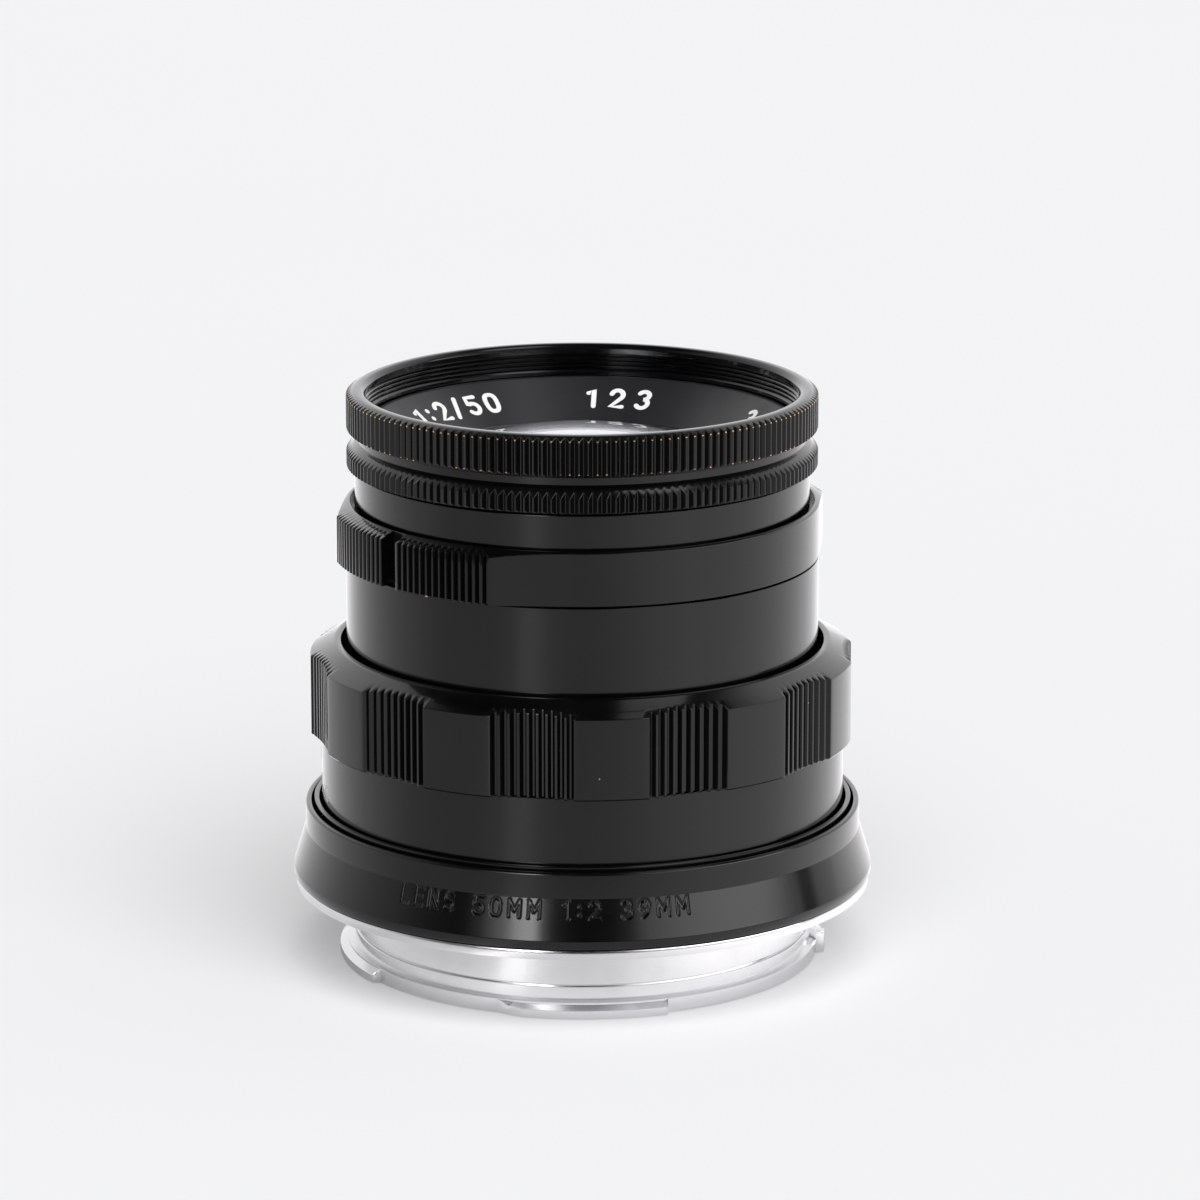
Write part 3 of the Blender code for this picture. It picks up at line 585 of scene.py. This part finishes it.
def engraved_depth(u, v, strokes, half_width, depth):
    """Depth of a round-bottomed engraving at the points (u, v), from their distance to the strokes."""
    nearest = np.full(u.shape, 1e9)
    for path in strokes:
        for (ax, ay), (bx, by) in zip(path, path[1:]):
            close = (u > min(ax, bx) - 0.4) & (u < max(ax, bx) + 0.4)
            if not close.any():
                continue
            px, py = u[close] - ax, v[close] - ay
            ex, ey = bx - ax, by - ay
            t = np.clip((px * ex + py * ey) / max(ex * ex + ey * ey, 1e-9), 0, 1)
            nearest[close] = np.minimum(nearest[close], np.hypot(px - t * ex, py - t * ey))
    return depth * np.clip(1.0 - (nearest / half_width) ** 2, 0.0, 1.0) ** 0.6


def make_skirt(paint):
    """The skirt's cone carries an unfilled engraving, so its front is meshed finely and pushed in."""
    strokes = lay_out("LENS 50MM 1:2 39MM", 1.5, 0.44)
    middle_z = 11.0
    radius_there = cone_radius(middle_z)
    grid_z = 8.46 + 3.5 * np.linspace(0.0, 1.0, 60)
    head = [(21.9, SKIRT_BOTTOM + 1.42), (21.9, SKIRT_BOTTOM), (25.9, SKIRT_BOTTOM),
            (26.04, SKIRT_BOTTOM + 0.04), (SKIRT_RADIUS, SKIRT_BOTTOM + 0.14), (SKIRT_RADIUS, 8.3),
            (26.095, 8.38)]
    tail = [(25.02, 11.98), (25.0, 12.06), (25.0, SKIRT_TOP - 0.22), (24.96, SKIRT_TOP - 0.08),
            (24.86, SKIRT_TOP), (24.6, SKIRT_TOP), (24.49, SKIRT_TOP - 0.05), (24.45, SKIRT_TOP - 0.16),
            (24.45, 9.02)]
    reach = math.radians(33.0)
    angles = [ENGRAVING_CENTRE + a for a in np.arange(-reach, reach, 0.055 / 25.5)]
    rest = int((TURN - 2 * reach) / (TURN / OUTER))
    angles += [ENGRAVING_CENTRE + reach + (TURN - 2 * reach) * i / rest for i in range(rest)]
    v = (grid_z - middle_z) / math.cos(math.radians(SKIRT_SLOPE))
    u = np.array([angle_between(a, ENGRAVING_CENTRE) * radius_there for a in angles])
    depth = engraved_depth(*np.meshgrid(u, v, indexing="ij"), strokes, half_width=0.17, depth=0.15)
    columns = []
    for angle, pushed in zip(angles, depth):
        middle = [(cone_radius(z) - d, z) for z, d in zip(grid_z, pushed)]
        columns.append((angle, head + middle + tail))
    show(turned("skirt_shell", None, columns, 42.0), "mount", paint, "black_paint", "rear_skirt")


def make_trim(paint):
    low, high = bottom_of("skirt_trim_ring"), top_of("skirt_trim_ring")
    outline = soften([(23.75, low), (24.2, low), (24.2, high), (23.75, high)], 0.1)
    show(turned("trim_band", outline), "mount", paint, "black_paint", "skirt_trim_ring")


def make_bead(red):
    """The index bead stands square to the cone, so its dome is built along the cone's normal."""
    angle = math.radians(150.0)
    lean = math.radians(SKIRT_SLOPE)
    normal = np.array([math.cos(angle) * math.cos(lean), math.sin(angle) * math.cos(lean), math.sin(lean)])
    side = np.array([-math.sin(angle), math.cos(angle), 0.0])
    up = np.cross(normal, side)
    station = 10.2
    radius = cone_radius(station)
    origin = np.array([radius * math.cos(angle), radius * math.sin(angle), station])
    across, stem = 1.45, 0.55
    profile = [(across * math.sin(t), 0.15 + 0.75 * math.cos(t)) for t in np.linspace(0, math.pi / 2, 12)]
    profile += [(across, -0.5), (1.38, -stem)]
    count = 40
    points = [origin + normal * profile[0][1]]
    for r, h in profile[1:]:
        points += [origin + normal * h + (side * math.cos(a) + up * math.sin(a)) * r for a in around(count)]
    points.append(origin - normal * stem)
    faces = [(0, 1 + i, 1 + (i + 1) % count) for i in range(count)]
    rings = len(profile) - 1
    for k in range(rings - 1):
        a, b = 1 + k * count, 1 + (k + 1) * count
        faces += [(a + i, b + i, b + (i + 1) % count, a + (i + 1) % count) for i in range(count)]
    last = 1 + (rings - 1) * count
    faces += [(last + (i + 1) % count, last + i, len(points) - 1) for i in range(count)]
    show(finish_mesh("red_bead", points, faces), "mount", red, "red_bead", "index_bead")


# ---- focusing ring

GRIP_GROUPS, GRIP_RIBS = 11, 9
GRIP_HALF = math.radians(8.9)
GRIP_FIRST = math.radians(-100.2)
RIB_PITCH, RIB_OPENING, RIB_FLOOR = math.radians(1.98), math.radians(1.5), math.radians(0.34)
GRIP_RADIUS = 24.45
GRIP_CREST = 27.75
GRIP_SLOPE = 1.8                     # how far the cone above the grip comes in per mm of height
RIB_DEPTH = 0.48
FILL_STEP = math.radians(1.2)        # the longest plain stretch between two columns
BELT_RADIUS = 23.5                   # the smooth belt that carries the distance scale


def grip_hollow(angle):
    """How deep the scallop is at an angle: it is cut where the ribs are."""
    for k in range(GRIP_GROUPS):
        offset = angle_between(angle, GRIP_FIRST + TURN * k / GRIP_GROUPS)
        if abs(offset) < GRIP_HALF:
            return 0.6 * (1.0 - (offset / GRIP_HALF) ** 2)
    return 0.0


def make_focus_ring(paint):
    marked = []
    for k in range(GRIP_GROUPS):
        centre = GRIP_FIRST + TURN * k / GRIP_GROUPS
        marked += groove_columns(centre, RIB_PITCH, GRIP_RIBS, RIB_OPENING, RIB_FLOOR)
        marked += [(centre - GRIP_HALF - 0.004, 0.0), (centre + GRIP_HALF + 0.004, 0.0)]
    columns = []
    for angle, depth in fill_columns(marked, FILL_STEP):
        radius = GRIP_RADIUS - grip_hollow(angle) - RIB_DEPTH * depth
        crest = GRIP_CREST + (GRIP_RADIUS - radius) / GRIP_SLOPE
        columns.append((angle, [
            (21.7, FOCUS_BOTTOM), (23.4, FOCUS_BOTTOM), (BELT_RADIUS, FOCUS_BOTTOM + 0.1),
            (BELT_RADIUS, 20.3), (23.52, 20.42), (23.6, 20.5), (radius - 0.1, 20.5), (radius, 20.62),
            (radius, crest - 0.1),
            (radius - 0.03, crest), (radius - 0.09, crest + 0.05), (23.2, GRIP_CREST + 1.25 / GRIP_SLOPE),
            (22.36, 28.91), (22.24, 28.98), (22.1, FOCUS_TOP), (21.78, FOCUS_TOP), (21.69, 28.96),
            (21.65, 28.86), (21.65, 20.0)]))
    show(turned("focus_grip", None, columns), "focus", paint, "black_paint", "focus_ring")


# ---- head

def make_barrel(paint):
    outline = soften([(19.4, 25.4), (17.6, 25.4), (17.6, BARREL_BOTTOM), (21.15, BARREL_BOTTOM),
                      (21.15, BARREL_TOP), (19.4, BARREL_TOP)], 0.06)
    show(turned("barrel_shell", outline), "head", paint, "black_paint", "head_barrel")


def make_tube(paint):
    outline = soften([(18.3, 46.9), (18.3, 42.1), (17.15, 42.1), (17.15, 41.0), (18.3, 41.0), (18.3, 27.0),
                      (15.2, 27.0), (15.2, 25.6), (19.1, 25.6), (19.1, 36.9), (19.8, 36.9), (19.8, 41.1),
                      (20.3, 41.1), (20.3, TUBE_TOP), (19.0, TUBE_TOP), (19.0, 46.9)], 0.08, 2)
    show(turned("head_tube", outline), "head", paint, "black_paint", "lens_head")


GRIP_CENTRES = (math.radians(-139.3), math.radians(40.7))
APERTURE_GRIP_HALF = math.radians(28.6)
APERTURE_GRIP_BLEND = math.radians(17.0)
APERTURE_LAND, APERTURE_GRIP = 21.2, 22.25
APERTURE_RIBS, APERTURE_PITCH = 14, math.radians(1.81)     # ribs each side of a grip's middle gap
APERTURE_RIB_DEPTH = 0.45
GAP_HALF, GAP_DEPTH = math.radians(2.5), 3.0               # the depth is in rib depths


def aperture_radius(angle):
    for centre in GRIP_CENTRES:
        offset = abs(angle_between(angle, centre))
        if offset <= APERTURE_GRIP_HALF:
            return APERTURE_GRIP
        if offset < APERTURE_GRIP_HALF + APERTURE_GRIP_BLEND:
            # a flat, tangent to the ring, that meets the grip at its end
            flat = APERTURE_LAND / math.cos(APERTURE_GRIP_HALF + APERTURE_GRIP_BLEND - offset)
            return min(APERTURE_GRIP, flat)
    return APERTURE_LAND


def make_aperture_ring(paint):
    """A round ring with two opposed ribbed grips, each parted by a plain gap."""
    marked = []
    for centre in GRIP_CENTRES:
        for side in (-1, 1):
            middle = centre + side * (GAP_HALF + math.radians(0.5) + APERTURE_PITCH * APERTURE_RIBS / 2)
            marked += groove_columns(middle, APERTURE_PITCH, APERTURE_RIBS, math.radians(1.36),
                                     math.radians(0.36))
            marked += [(centre + side * (GAP_HALF + 0.006), 0.0), (centre + side * GAP_HALF, 0.12),
                       (centre + side * (GAP_HALF - 0.002), GAP_DEPTH),
                       (centre + side * (APERTURE_GRIP_HALF + 0.002), 0.0)]
        marked += [(centre + math.radians(a), GAP_DEPTH) for a in (-1.2, 0.0, 1.2)]
    columns = []
    top_edge = 20.93
    for angle, depth in fill_columns(marked, FILL_STEP):
        radius = aperture_radius(angle) - APERTURE_RIB_DEPTH * depth
        crest = APERTURE_TOP - 0.45 * max(0.0, radius - top_edge)
        columns.append((angle, [
            (20.1, APERTURE_BOTTOM), (radius - 0.06, APERTURE_BOTTOM),
            (radius - 0.02, APERTURE_BOTTOM + 0.02), (radius, APERTURE_BOTTOM + 0.06),
            (radius, crest - 0.07), (radius - 0.025, crest - 0.005),
            (radius - 0.08, crest + 0.036 if radius > top_edge + 0.1 else crest - 0.004),
            (min(top_edge, radius - 0.09), APERTURE_TOP), (20.8, APERTURE_TOP), (20.76, APERTURE_TOP - 0.02),
            (20.75, APERTURE_TOP - 0.06), (20.75, 40.3), (20.1, 40.3)]))
    show(turned("aperture_grip", None, columns), "aperture", paint, "black_paint", "aperture_ring")


TOOTH_COUNT, TOOTH_DEPTH = 166, 0.44
FIRST_TOOTH = math.radians(-88.4)
KNURL_RADIUS, THREAD_RADIUS, THREAD_PITCH = 21.0, 19.25, 0.4


def make_filter_ring(paint):
    """Two knurled bands with a plain groove between them. The V-cuts run out in the chamfers as arches."""
    pitch = TURN / TOOTH_COUNT
    thread = []
    for k in range(8):
        r, z = THREAD_RADIUS + (0.2 if k % 2 else 0.0), 51.0 - THREAD_PITCH / 2 * k
        thread += [(r, z), (r, z - 0.04)]
    columns = []
    for angle, depth in groove_columns(FIRST_TOOTH, pitch, TOOTH_COUNT, pitch * 0.86, pitch * 0.1):
        radius = KNURL_RADIUS - TOOTH_DEPTH * depth
        # the four edges of the two bands, which slope at the chamfers
        low = 44.96 + (radius - 20.5) * 0.25
        second = 46.42 + (KNURL_RADIUS - radius) * 1.03
        third = 48.2 + (radius - 20.55) * 0.6
        crest = 51.42 + (KNURL_RADIUS - radius) * 0.58
        columns.append((angle % TURN, [
            (19.15, 44.94), (20.46, 44.94), (radius - 0.04, low), (radius, low + 0.05),
            (radius, second - 0.03), (radius - 0.03, second + 0.03), (20.24, 47.2), (20.08, 47.3),
            (20.0, 47.4), (20.0, 48.02), (20.08, 48.12), (20.48, 48.15), (radius - 0.03, third - 0.02),
            (radius, third + 0.03), (radius, crest - 0.04), (radius - 0.04, crest + 0.02),
            (20.42, 51.755), (20.28, 51.8), (20.14, RIM), (19.72, RIM), (19.58, RIM - 0.05),
            (19.32, 51.55), (THREAD_RADIUS, 51.4), *thread, (19.15, 49.3)]))
    columns.sort(key=lambda item: item[0])
    show(turned("filter_knurl", None, columns, 24.0), "head", paint, "black_paint", "filter_ring")


NAME_FOOT, NAME_RIM = (14.4, 45.62), (18.6, 48.9)      # the cone that faces forward, as (r, z)


def make_name_ring(black):
    outline = soften([(14.4, 45.2), (17.4, 47.1), (18.9, 47.1), (18.9, 48.95), NAME_RIM, NAME_FOOT], 0.07, 2)
    show(turned("name_cone", outline), "head", black, "black_anodised", "name_ring")


def make_name_ring_text(white):
    width, height = NAME_RIM[0] - NAME_FOOT[0], NAME_RIM[1] - NAME_FOOT[1]
    radius = 16.6
    station = NAME_FOOT[1] + (radius - NAME_FOOT[0]) * height / width
    for name, text, place, gap in (("ratio_mark", "1:2/50", 135.5, 0.46), ("number_mark", "123", 78.5, 0.68),
                                   ("thread_mark", "39", 22.5, 0.5)):
        wrap = wrapper(radius, station, math.degrees(math.atan2(width, height)), math.radians(place),
                       inside=True)
        lettering(name, lay_out(text, 1.95, gap), wrap, 0.46, "head", white)


# ---- glass and inner rings

def sag(curve, r):
    """How far a surface of that radius of curvature falls away from its vertex at r."""
    return 0.0 if math.isinf(curve) else math.copysign(abs(curve) - math.sqrt(curve * curve - r * r), curve)


def surface(vertex, curve, rim):
    count = 2 if math.isinf(curve) else 22
    return [(rim * i / count, vertex - sag(curve, rim * i / count)) for i in range(count + 1)]


# Front and rear surface as (vertex, radius of curvature, rim), and the (r, z) points of the edge between
ELEMENTS = {
    "front_element_1": ((47.9, 41.6, 14.2), (43.6, 115.0, 12.9),
                        ((14.2, 44.1), (15.0, 44.1), (15.0, 42.87))),
    "front_element_2": ((42.5, 25.0, 12.8), (37.6, 60.0, 12.8), ()),
    "front_element_3": ((37.2, 60.0, 11.8), (35.6, 15.5, 9.6), ((11.8, 32.27),)),
    "rear_element_4": ((24.6, -15.5, 9.6), (23.25, math.inf, 11.4), ((11.4, 27.93),)),
    "rear_element_5": ((23.1, math.inf, 11.4), (18.0, -22.0, 11.4), ()),
    "rear_element_6": ((17.4, 60.0, 11.8), (12.2, -33.0, 11.8), ()),
    "rear_element_7": ((11.4, 40.0, 11.8), (7.9, -80.0, 11.8), ()),
}


def make_glass():
    tints = ((0.93, 0.95, 1.0), (0.99, 0.95, 0.9), (0.95, 0.93, 1.0))
    for i, (node, (front, rear, shoulder)) in enumerate(ELEMENTS.items()):
        profile = surface(*front) + list(shoulder) + surface(*rear)[::-1]
        glass = coated_glass("glass_%d" % (i + 1), tints[i % 3], 1.55 + 0.03 * (i % 3))
        show(disc("glass_%d" % (i + 1), profile), "head", glass, "glass", node)


INNER_RINGS = {
    "front_cell": [(10.0, 31.75), (12.3, 31.75), (12.3, 33.2), (16.9, 33.2), (16.9, 42.4),
                   (18.1, 42.4), (18.1, 43.8), (16.9, 43.8), (16.9, 45.0), (15.2, 45.0),
                   (15.2, 42.7), (13.0, 42.7), (13.0, 35.95), (12.0, 35.95), (12.0, 32.05),
                   (10.0, 32.05)],
    "front_retaining_ring": [(14.4, 44.35), (15.05, 44.35), (15.05, 45.0), (14.4, 45.0)],
    "front_spacer": [(12.1, 39.6), (12.8, 39.6), (12.8, 42.6), (12.1, 42.6)],
    "rear_cell": [(12.0, 7.4), (14.6, 7.4), (14.6, 24.4), (17.3, 24.4), (17.3, 25.3),
                  (14.9, 25.3), (14.9, 27.4), (11.6, 27.4), (11.6, 20.6), (10.9, 20.6),
                  (10.9, 16.7), (12.0, 16.7)],
    "rear_spacer": [(11.0, 10.1), (11.8, 10.1), (11.8, 13.8), (11.0, 13.8)],
    "rear_retaining_ring": [(10.8, 7.5), (11.8, 7.5), (11.8, 8.3), (10.8, 8.3)],
    "rangefinder_cam": [(15.5, 0.3), (17.3, 0.3), (17.3, 20.7), (18.8, 20.7), (18.8, 22.45),
                        (15.5, 22.45)],
    "guide_sleeve": [(17.65, 7.75), (21.6, 7.75), (21.6, 8.9), (18.75, 8.9), (18.75, 20.0),
                     (17.65, 20.0)],
}


def make_inner_rings(black, brass, aluminium):
    for node, outline in INNER_RINGS.items():
        if node in ("rangefinder_cam", "guide_sleeve"):
            finish, slot = brass, "brass"
        elif "spacer" in node:
            finish, slot = aluminium, "aluminium"
        else:
            finish, slot = black, "black_anodised"
        piece = turned(node + "_turned", soften(outline, 0.1, 2), INNER)
        show(piece, "mount" if node == "guide_sleeve" else "head", finish, slot, node)


# ---- scales on the index side

SCALE_STROKE = 0.24
METRE_ROW, FOOT_ROW = -1.35, 1.35
FOOT = 0.3048


def focus_angle(distance):
    """How far the ring has turned from infinity at a distance in metres: 95 degrees at 1 m."""
    return math.radians(95.0) * 0.9 / (distance - 0.1)


def make_distance_scales(white, red):
    belt = wrapper(BELT_RADIUS, 17.4, 0.0, INDEX)
    infinity = lay_out(["oo"], 1.7)
    metres = moved(infinity, 0.0, METRE_ROW) + moved(infinity, 0.0, FOOT_ROW)
    for value in (10, 5, 3, 2, 1.5, 1.2, 1):
        metres += moved(lay_out("%g" % value, 1.7), focus_angle(value) * BELT_RADIUS, METRE_ROW)
    metres += moved(lay_out("m", 1.7), focus_angle(1) * BELT_RADIUS + 3.2, METRE_ROW)
    lettering("metre_scale", metres, belt, SCALE_STROKE, "focus", white)
    feet = []
    for value in (30, 15, 10, 7, 5, 4, 3.5):
        feet += moved(lay_out("%g" % value, 1.7), focus_angle(value * FOOT) * BELT_RADIUS, FOOT_ROW)
    lettering("foot_scale", feet, belt, SCALE_STROKE, "focus", red)


def make_depth_scale(white):
    """Depth of field: for every second stop, one mark each side of the index."""
    radius = 25.6
    strokes = []
    for stop, reach in ((4, 4.6), (8, 9.2), (16, 18.4)):
        for side in (-1, 1):
            across = side * math.radians(reach) * radius
            strokes.append([(across, 1.05), (across, 1.75)])
            strokes += moved(lay_out("%d" % stop, 1.5, 0.2), across, -0.15)
    strokes.append([(0.0, -1.3), (0.0, 1.8)])
    cone = wrapper(radius, 10.02, -SKIRT_SLOPE, INDEX)
    lettering("depth_scale", strokes, cone, SCALE_STROKE, "mount", white)


def make_stop_scale(white):
    stops = []
    for k, stop in enumerate((2, 2.8, 4, 5.6, 8, 11, 16)):
        stops += moved(lay_out("%g" % stop, 1.75, 0.2), math.radians(12.0 * k) * APERTURE_LAND)
    ring = wrapper(APERTURE_LAND, 39.25, 0.0, INDEX)
    lettering("stop_scale", stops, ring, 0.26, "aperture", white)
    dot = [[(0.0, -0.12), (0.0, 0.12)]]
    lettering("stop_index", dot, wrapper(21.15, 35.6, 0.0, INDEX), 0.85, "head", white)


# ---- studio

# Painted light on the floor, seen only in reflections. Its glow is listed by bearing in degrees from the
# camera to +X: a painted reflection of the window as a bright streak, and painted shade where it dims in
# front of the lens
PAINTED_FLOOR_GLOW = ((-180, 1.2), (-150, 1.15), (-134, 0.98), (-116, 0.84), (-97, 0.78), (-81, 0.74),
              (-66, 0.62), (-40, 0.66), (-31, 0.8), (-26, 1.2), (-21, 1.2), (-15, 0.85), (-9, 0.72),
              (0, 0.69), (10, 0.76), (20, 0.88), (30, 1.04), (48, 1.25), (80, 1.25), (134, 1.18),
              (152, 1.25), (180, 1.2))
LIT_FROM_BELOW = 0.25                # the share of the floor that glows by itself where the camera sees it


def make_floor():
    """Pale paper. In reflections, beyond the lens's foot, it glows with painted light whose brightness
    follows the bearing: a painted reflection of the window, and painted shade in front of the lens.
    """
    size = 6.0
    mesh = bpy.data.meshes.new("studio_floor")
    corners = [(-size, -size, 0.0), (size, -size, 0.0), (size, size, 0.0), (-size, size, 0.0)]
    mesh.from_pydata(corners, [], [(0, 1, 2, 3)])
    floor = bpy.data.objects.new("studio_floor", mesh)
    bpy.context.scene.collection.objects.link(floor)
    mat, tree, shader = new_material("pale_paper")
    point, x, y, _, radius = tree.place()
    tone = tree.mix(tree.noise(point, 3.0, 2.0), (0.88, 0.885, 0.895, 1.0), (0.92, 0.922, 0.93, 1.0))
    tree.fill(shader, {"Base Color": tone, "Roughness": 0.75, "Specular IOR Level": 0.0})
    # painted reflection and painted shade: for reflected rays the floor glows, brighter in a streak towards
    # the window and darker in front of the lens
    glow = ramp_by_bearing(tree, bearing_share(tree, x, y), PAINTED_FLOOR_GLOW)
    painted_reflection = tree.add("ShaderNodeEmission", {"Color": (1.0, 0.985, 1.0, 1.0), "Strength": glow})
    ray = tree.add("ShaderNodeLightPath").outputs
    far = tree.math("MULTIPLY", ray["Is Glossy Ray"], tree.step(radius, 0.022, 0.033))
    lamp = tree.add("ShaderNodeEmission", {"Color": (0.995, 0.997, 1.0, 1.0), "Strength": 0.9})
    seen = tree.math("MULTIPLY", ray["Is Camera Ray"], LIT_FROM_BELOW)
    paper = tree.add("ShaderNodeMixShader", {0: seen, 1: shader.outputs[0], 2: lamp.outputs[0]})
    blend = tree.add("ShaderNodeMixShader", {0: far, 1: paper.outputs[0], 2: painted_reflection.outputs[0]})
    tree.links.new(blend.outputs[0], mat.node_tree.nodes["Material Output"].inputs["Surface"])
    mesh.materials.append(mat)


# Brightness of the studio's walls, and of the windows in them, by bearing in degrees from the camera to +X
WALLS = ((-180, 1.0), (-140, 0.95), (-105, 0.75), (-80, 0.5), (-62, 0.16), (-45, 0.06), (0, 0.03),
         (18, 0.06), (40, 0.3), (70, 0.55), (95, 0.75), (98, 0.12), (103, 0.12), (107, 0.85), (140, 0.95),
         (180, 1.0))
WINDOWS = ((-180, 0.0), (-48, 0.0), (-41, 0.4), (-36, 1.5), (-30, 2.8), (-27, 6.0), (-22, 8.6),
           (-19, 8.8), (-16, 1.0), (-12, 0.0), (12, 0.0), (19, 0.25), (26, 1.5), (42, 2.3), (60, 2.7),
           (94, 2.6), (98, 0.0), (180, 0.0))
PEAK = 9.0                           # a ramp holds 0 to 1, so its levels are divided by the peak
SKY = 0.22                           # what matt surfaces receive from all round


def ramp_by_bearing(tree, share, table):
    ramp = tree.add("ShaderNodeValToRGB", {0: share})
    while len(ramp.color_ramp.elements) < len(table):
        ramp.color_ramp.elements.new(0.5)
    for element, (degrees, _) in zip(ramp.color_ramp.elements, table):
        element.position = (degrees + 180.0) / 360.0
    for element, (_, level) in zip(ramp.color_ramp.elements, table):
        element.color = (level / PEAK, level / PEAK, level / PEAK, 1.0)
    return tree.math("MULTIPLY", ramp.outputs["Color"], PEAK)


def bearing_share(tree, x, y):
    """The bearing from the camera's side as a share of the whole turn: 0.5 is towards the camera."""
    bearing = tree.math("ARCTAN2", x, tree.math("MULTIPLY", y, -1.0))
    return tree.math("ADD", tree.math("DIVIDE", bearing, TURN), 0.5)


def sine(degrees):
    return math.sin(math.radians(degrees))


def make_world():
    """Pale studio walls under a dark ceiling, with a window each side of the camera. Only reflections
    see them: matt surfaces get an even light, and the camera a plain pale backdrop."""
    world = bpy.data.worlds.new("studio")
    bpy.context.scene.world = world
    world.use_nodes = True
    tree = Tree(world.node_tree)
    background = world.node_tree.nodes["Background"]
    direction = tree.add("ShaderNodeTexCoord").outputs["Generated"]
    x, y, z = tree.add("ShaderNodeSeparateXYZ", {0: direction}).outputs
    share = bearing_share(tree, x, y)
    walls = ramp_by_bearing(tree, share, WALLS)
    windows = ramp_by_bearing(tree, share, WINDOWS)
    band = tree.math("MULTIPLY", tree.step(z, sine(6.0), sine(10.0)), tree.step(z, sine(36.0), sine(30.0)))
    level = tree.math("ADD", walls, tree.math("MULTIPLY", windows, band))
    ceiling = tree.step(z, sine(62.0), sine(44.0))
    level = tree.lerp(ceiling, 0.04, level)
    # one ceiling lamp, to the right of the lens and a little in front: bearing 74 and height 68 degrees
    lamp = (sine(74.0) * sine(22.0), -sine(16.0) * sine(22.0), sine(68.0))
    towards = tree.add("ShaderNodeVectorMath", {0: direction, 1: lamp}, operation="DOT_PRODUCT")
    level = tree.lerp(tree.step(towards.outputs["Value"], 0.972, 0.988), level, 2.3)
    ray = tree.add("ShaderNodeLightPath").outputs
    level = tree.lerp(ray["Is Glossy Ray"], SKY, level)
    tree.fill(background, {"Color": (0.99, 0.985, 1.0, 1.0),
                           "Strength": tree.lerp(ray["Is Camera Ray"], level, 0.895)})
    world.cycles.sampling_method = "NONE"


def make_sun(name, bearing, height, spread, strength):
    """A broad soft light, evenly bright over the whole floor; bearing, height and spread are in degrees.
    The studio walls stand for it in reflections."""
    data = bpy.data.lights.new(name, "SUN")
    data.angle = math.radians(spread)
    data.energy = strength
    light = bpy.data.objects.new(name, data)
    light.rotation_euler = (math.radians(90.0 - height), 0.0, math.radians(bearing))
    light.visible_glossy = False
    bpy.context.scene.collection.objects.link(light)


def make_camera():
    """A long lens, looking a little down, 0.5 m from the object."""
    data = bpy.data.cameras.new("camera")
    data.lens = 171.3
    data.sensor_width = 36.0
    data.clip_start = 0.01
    camera = bpy.data.objects.new("camera", data)
    camera.location = (0.001585, -0.497, 0.1556)
    camera.rotation_euler = (math.radians(90.0 - 13.93), 0.0, 0.0)
    bpy.context.scene.collection.objects.link(camera)
    bpy.context.scene.camera = camera
    bpy.context.scene.view_settings.view_transform = "Standard"


def main():
    make_camera()
    make_floor()
    make_world()
    make_sun("window_light", bearing=80.0, height=54.0, spread=80.0, strength=0.3)
    make_sun("front_light", bearing=14.0, height=55.0, spread=60.0, strength=2.69)

    # foot=0.94 darkens the mount's lowest 1.5 mm: painted shade
    chrome = turned_metal("chrome", (0.83, 0.83, 0.84), 0.1, 0.003, stain=0.06, foot=0.94)
    brass = turned_metal("brass", (0.62, 0.44, 0.2), 0.22, 0.004)
    aluminium = turned_metal("aluminium", (0.72, 0.72, 0.73), 0.3, 0.004)
    steel = turned_metal("steel", (0.5, 0.5, 0.51), 0.22, 0.003)
    blade = turned_metal("blade_steel", (0.05, 0.05, 0.055), 0.35, 0.002)
    matt = matt_black("anodised_black")
    satin = matt_black("anodised_satin", 0.34, 5200.0)
    paint = black_paint("skirt_paint")
    ribbed = black_paint("grip_paint")
    knurled = black_paint("knurl_paint", wear=((20.968, 51.35, 51.44, 1.0), (20.975, 48.48, 48.54, 0.5)))
    aperture_paint = black_paint("aperture_paint", wear=((22.2, 37.02, 37.08, 0.2),))
    white = enamel("white_enamel", WHITE_FILL)
    red = enamel("red_enamel", RED_FILL)

    make_bayonet(chrome)
    make_mount_screws(steel)
    make_skirt(paint)
    make_trim(paint)
    make_bead(deep_red("bead_red"))
    make_focus_ring(ribbed)
    make_barrel(paint)
    make_tube(paint)
    make_aperture_ring(aperture_paint)
    make_filter_ring(knurled)
    make_name_ring(satin)
    make_name_ring_text(white)
    make_glass()
    make_inner_rings(matt, brass, aluminium)
    make_distance_scales(white, red)
    make_depth_scale(white)
    make_stop_scale(white)

    plain = {"steel": steel, "brass": brass, "aluminium": aluminium, "black_anodised": matt,
             "blade_black": blade, "black_paint": paint}
    slots = {row["node"]: row["material_slot"] for row in frame["record"]["subparts"]}
    slots["aperture_snap_ring"] = "black_anodised"
    for name, node in frame["nodes"].items():
        finish = plain.get(slots.get(name))
        if finish is not None:
            node.data.materials.clear()
            node.data.materials.append(finish)


main()
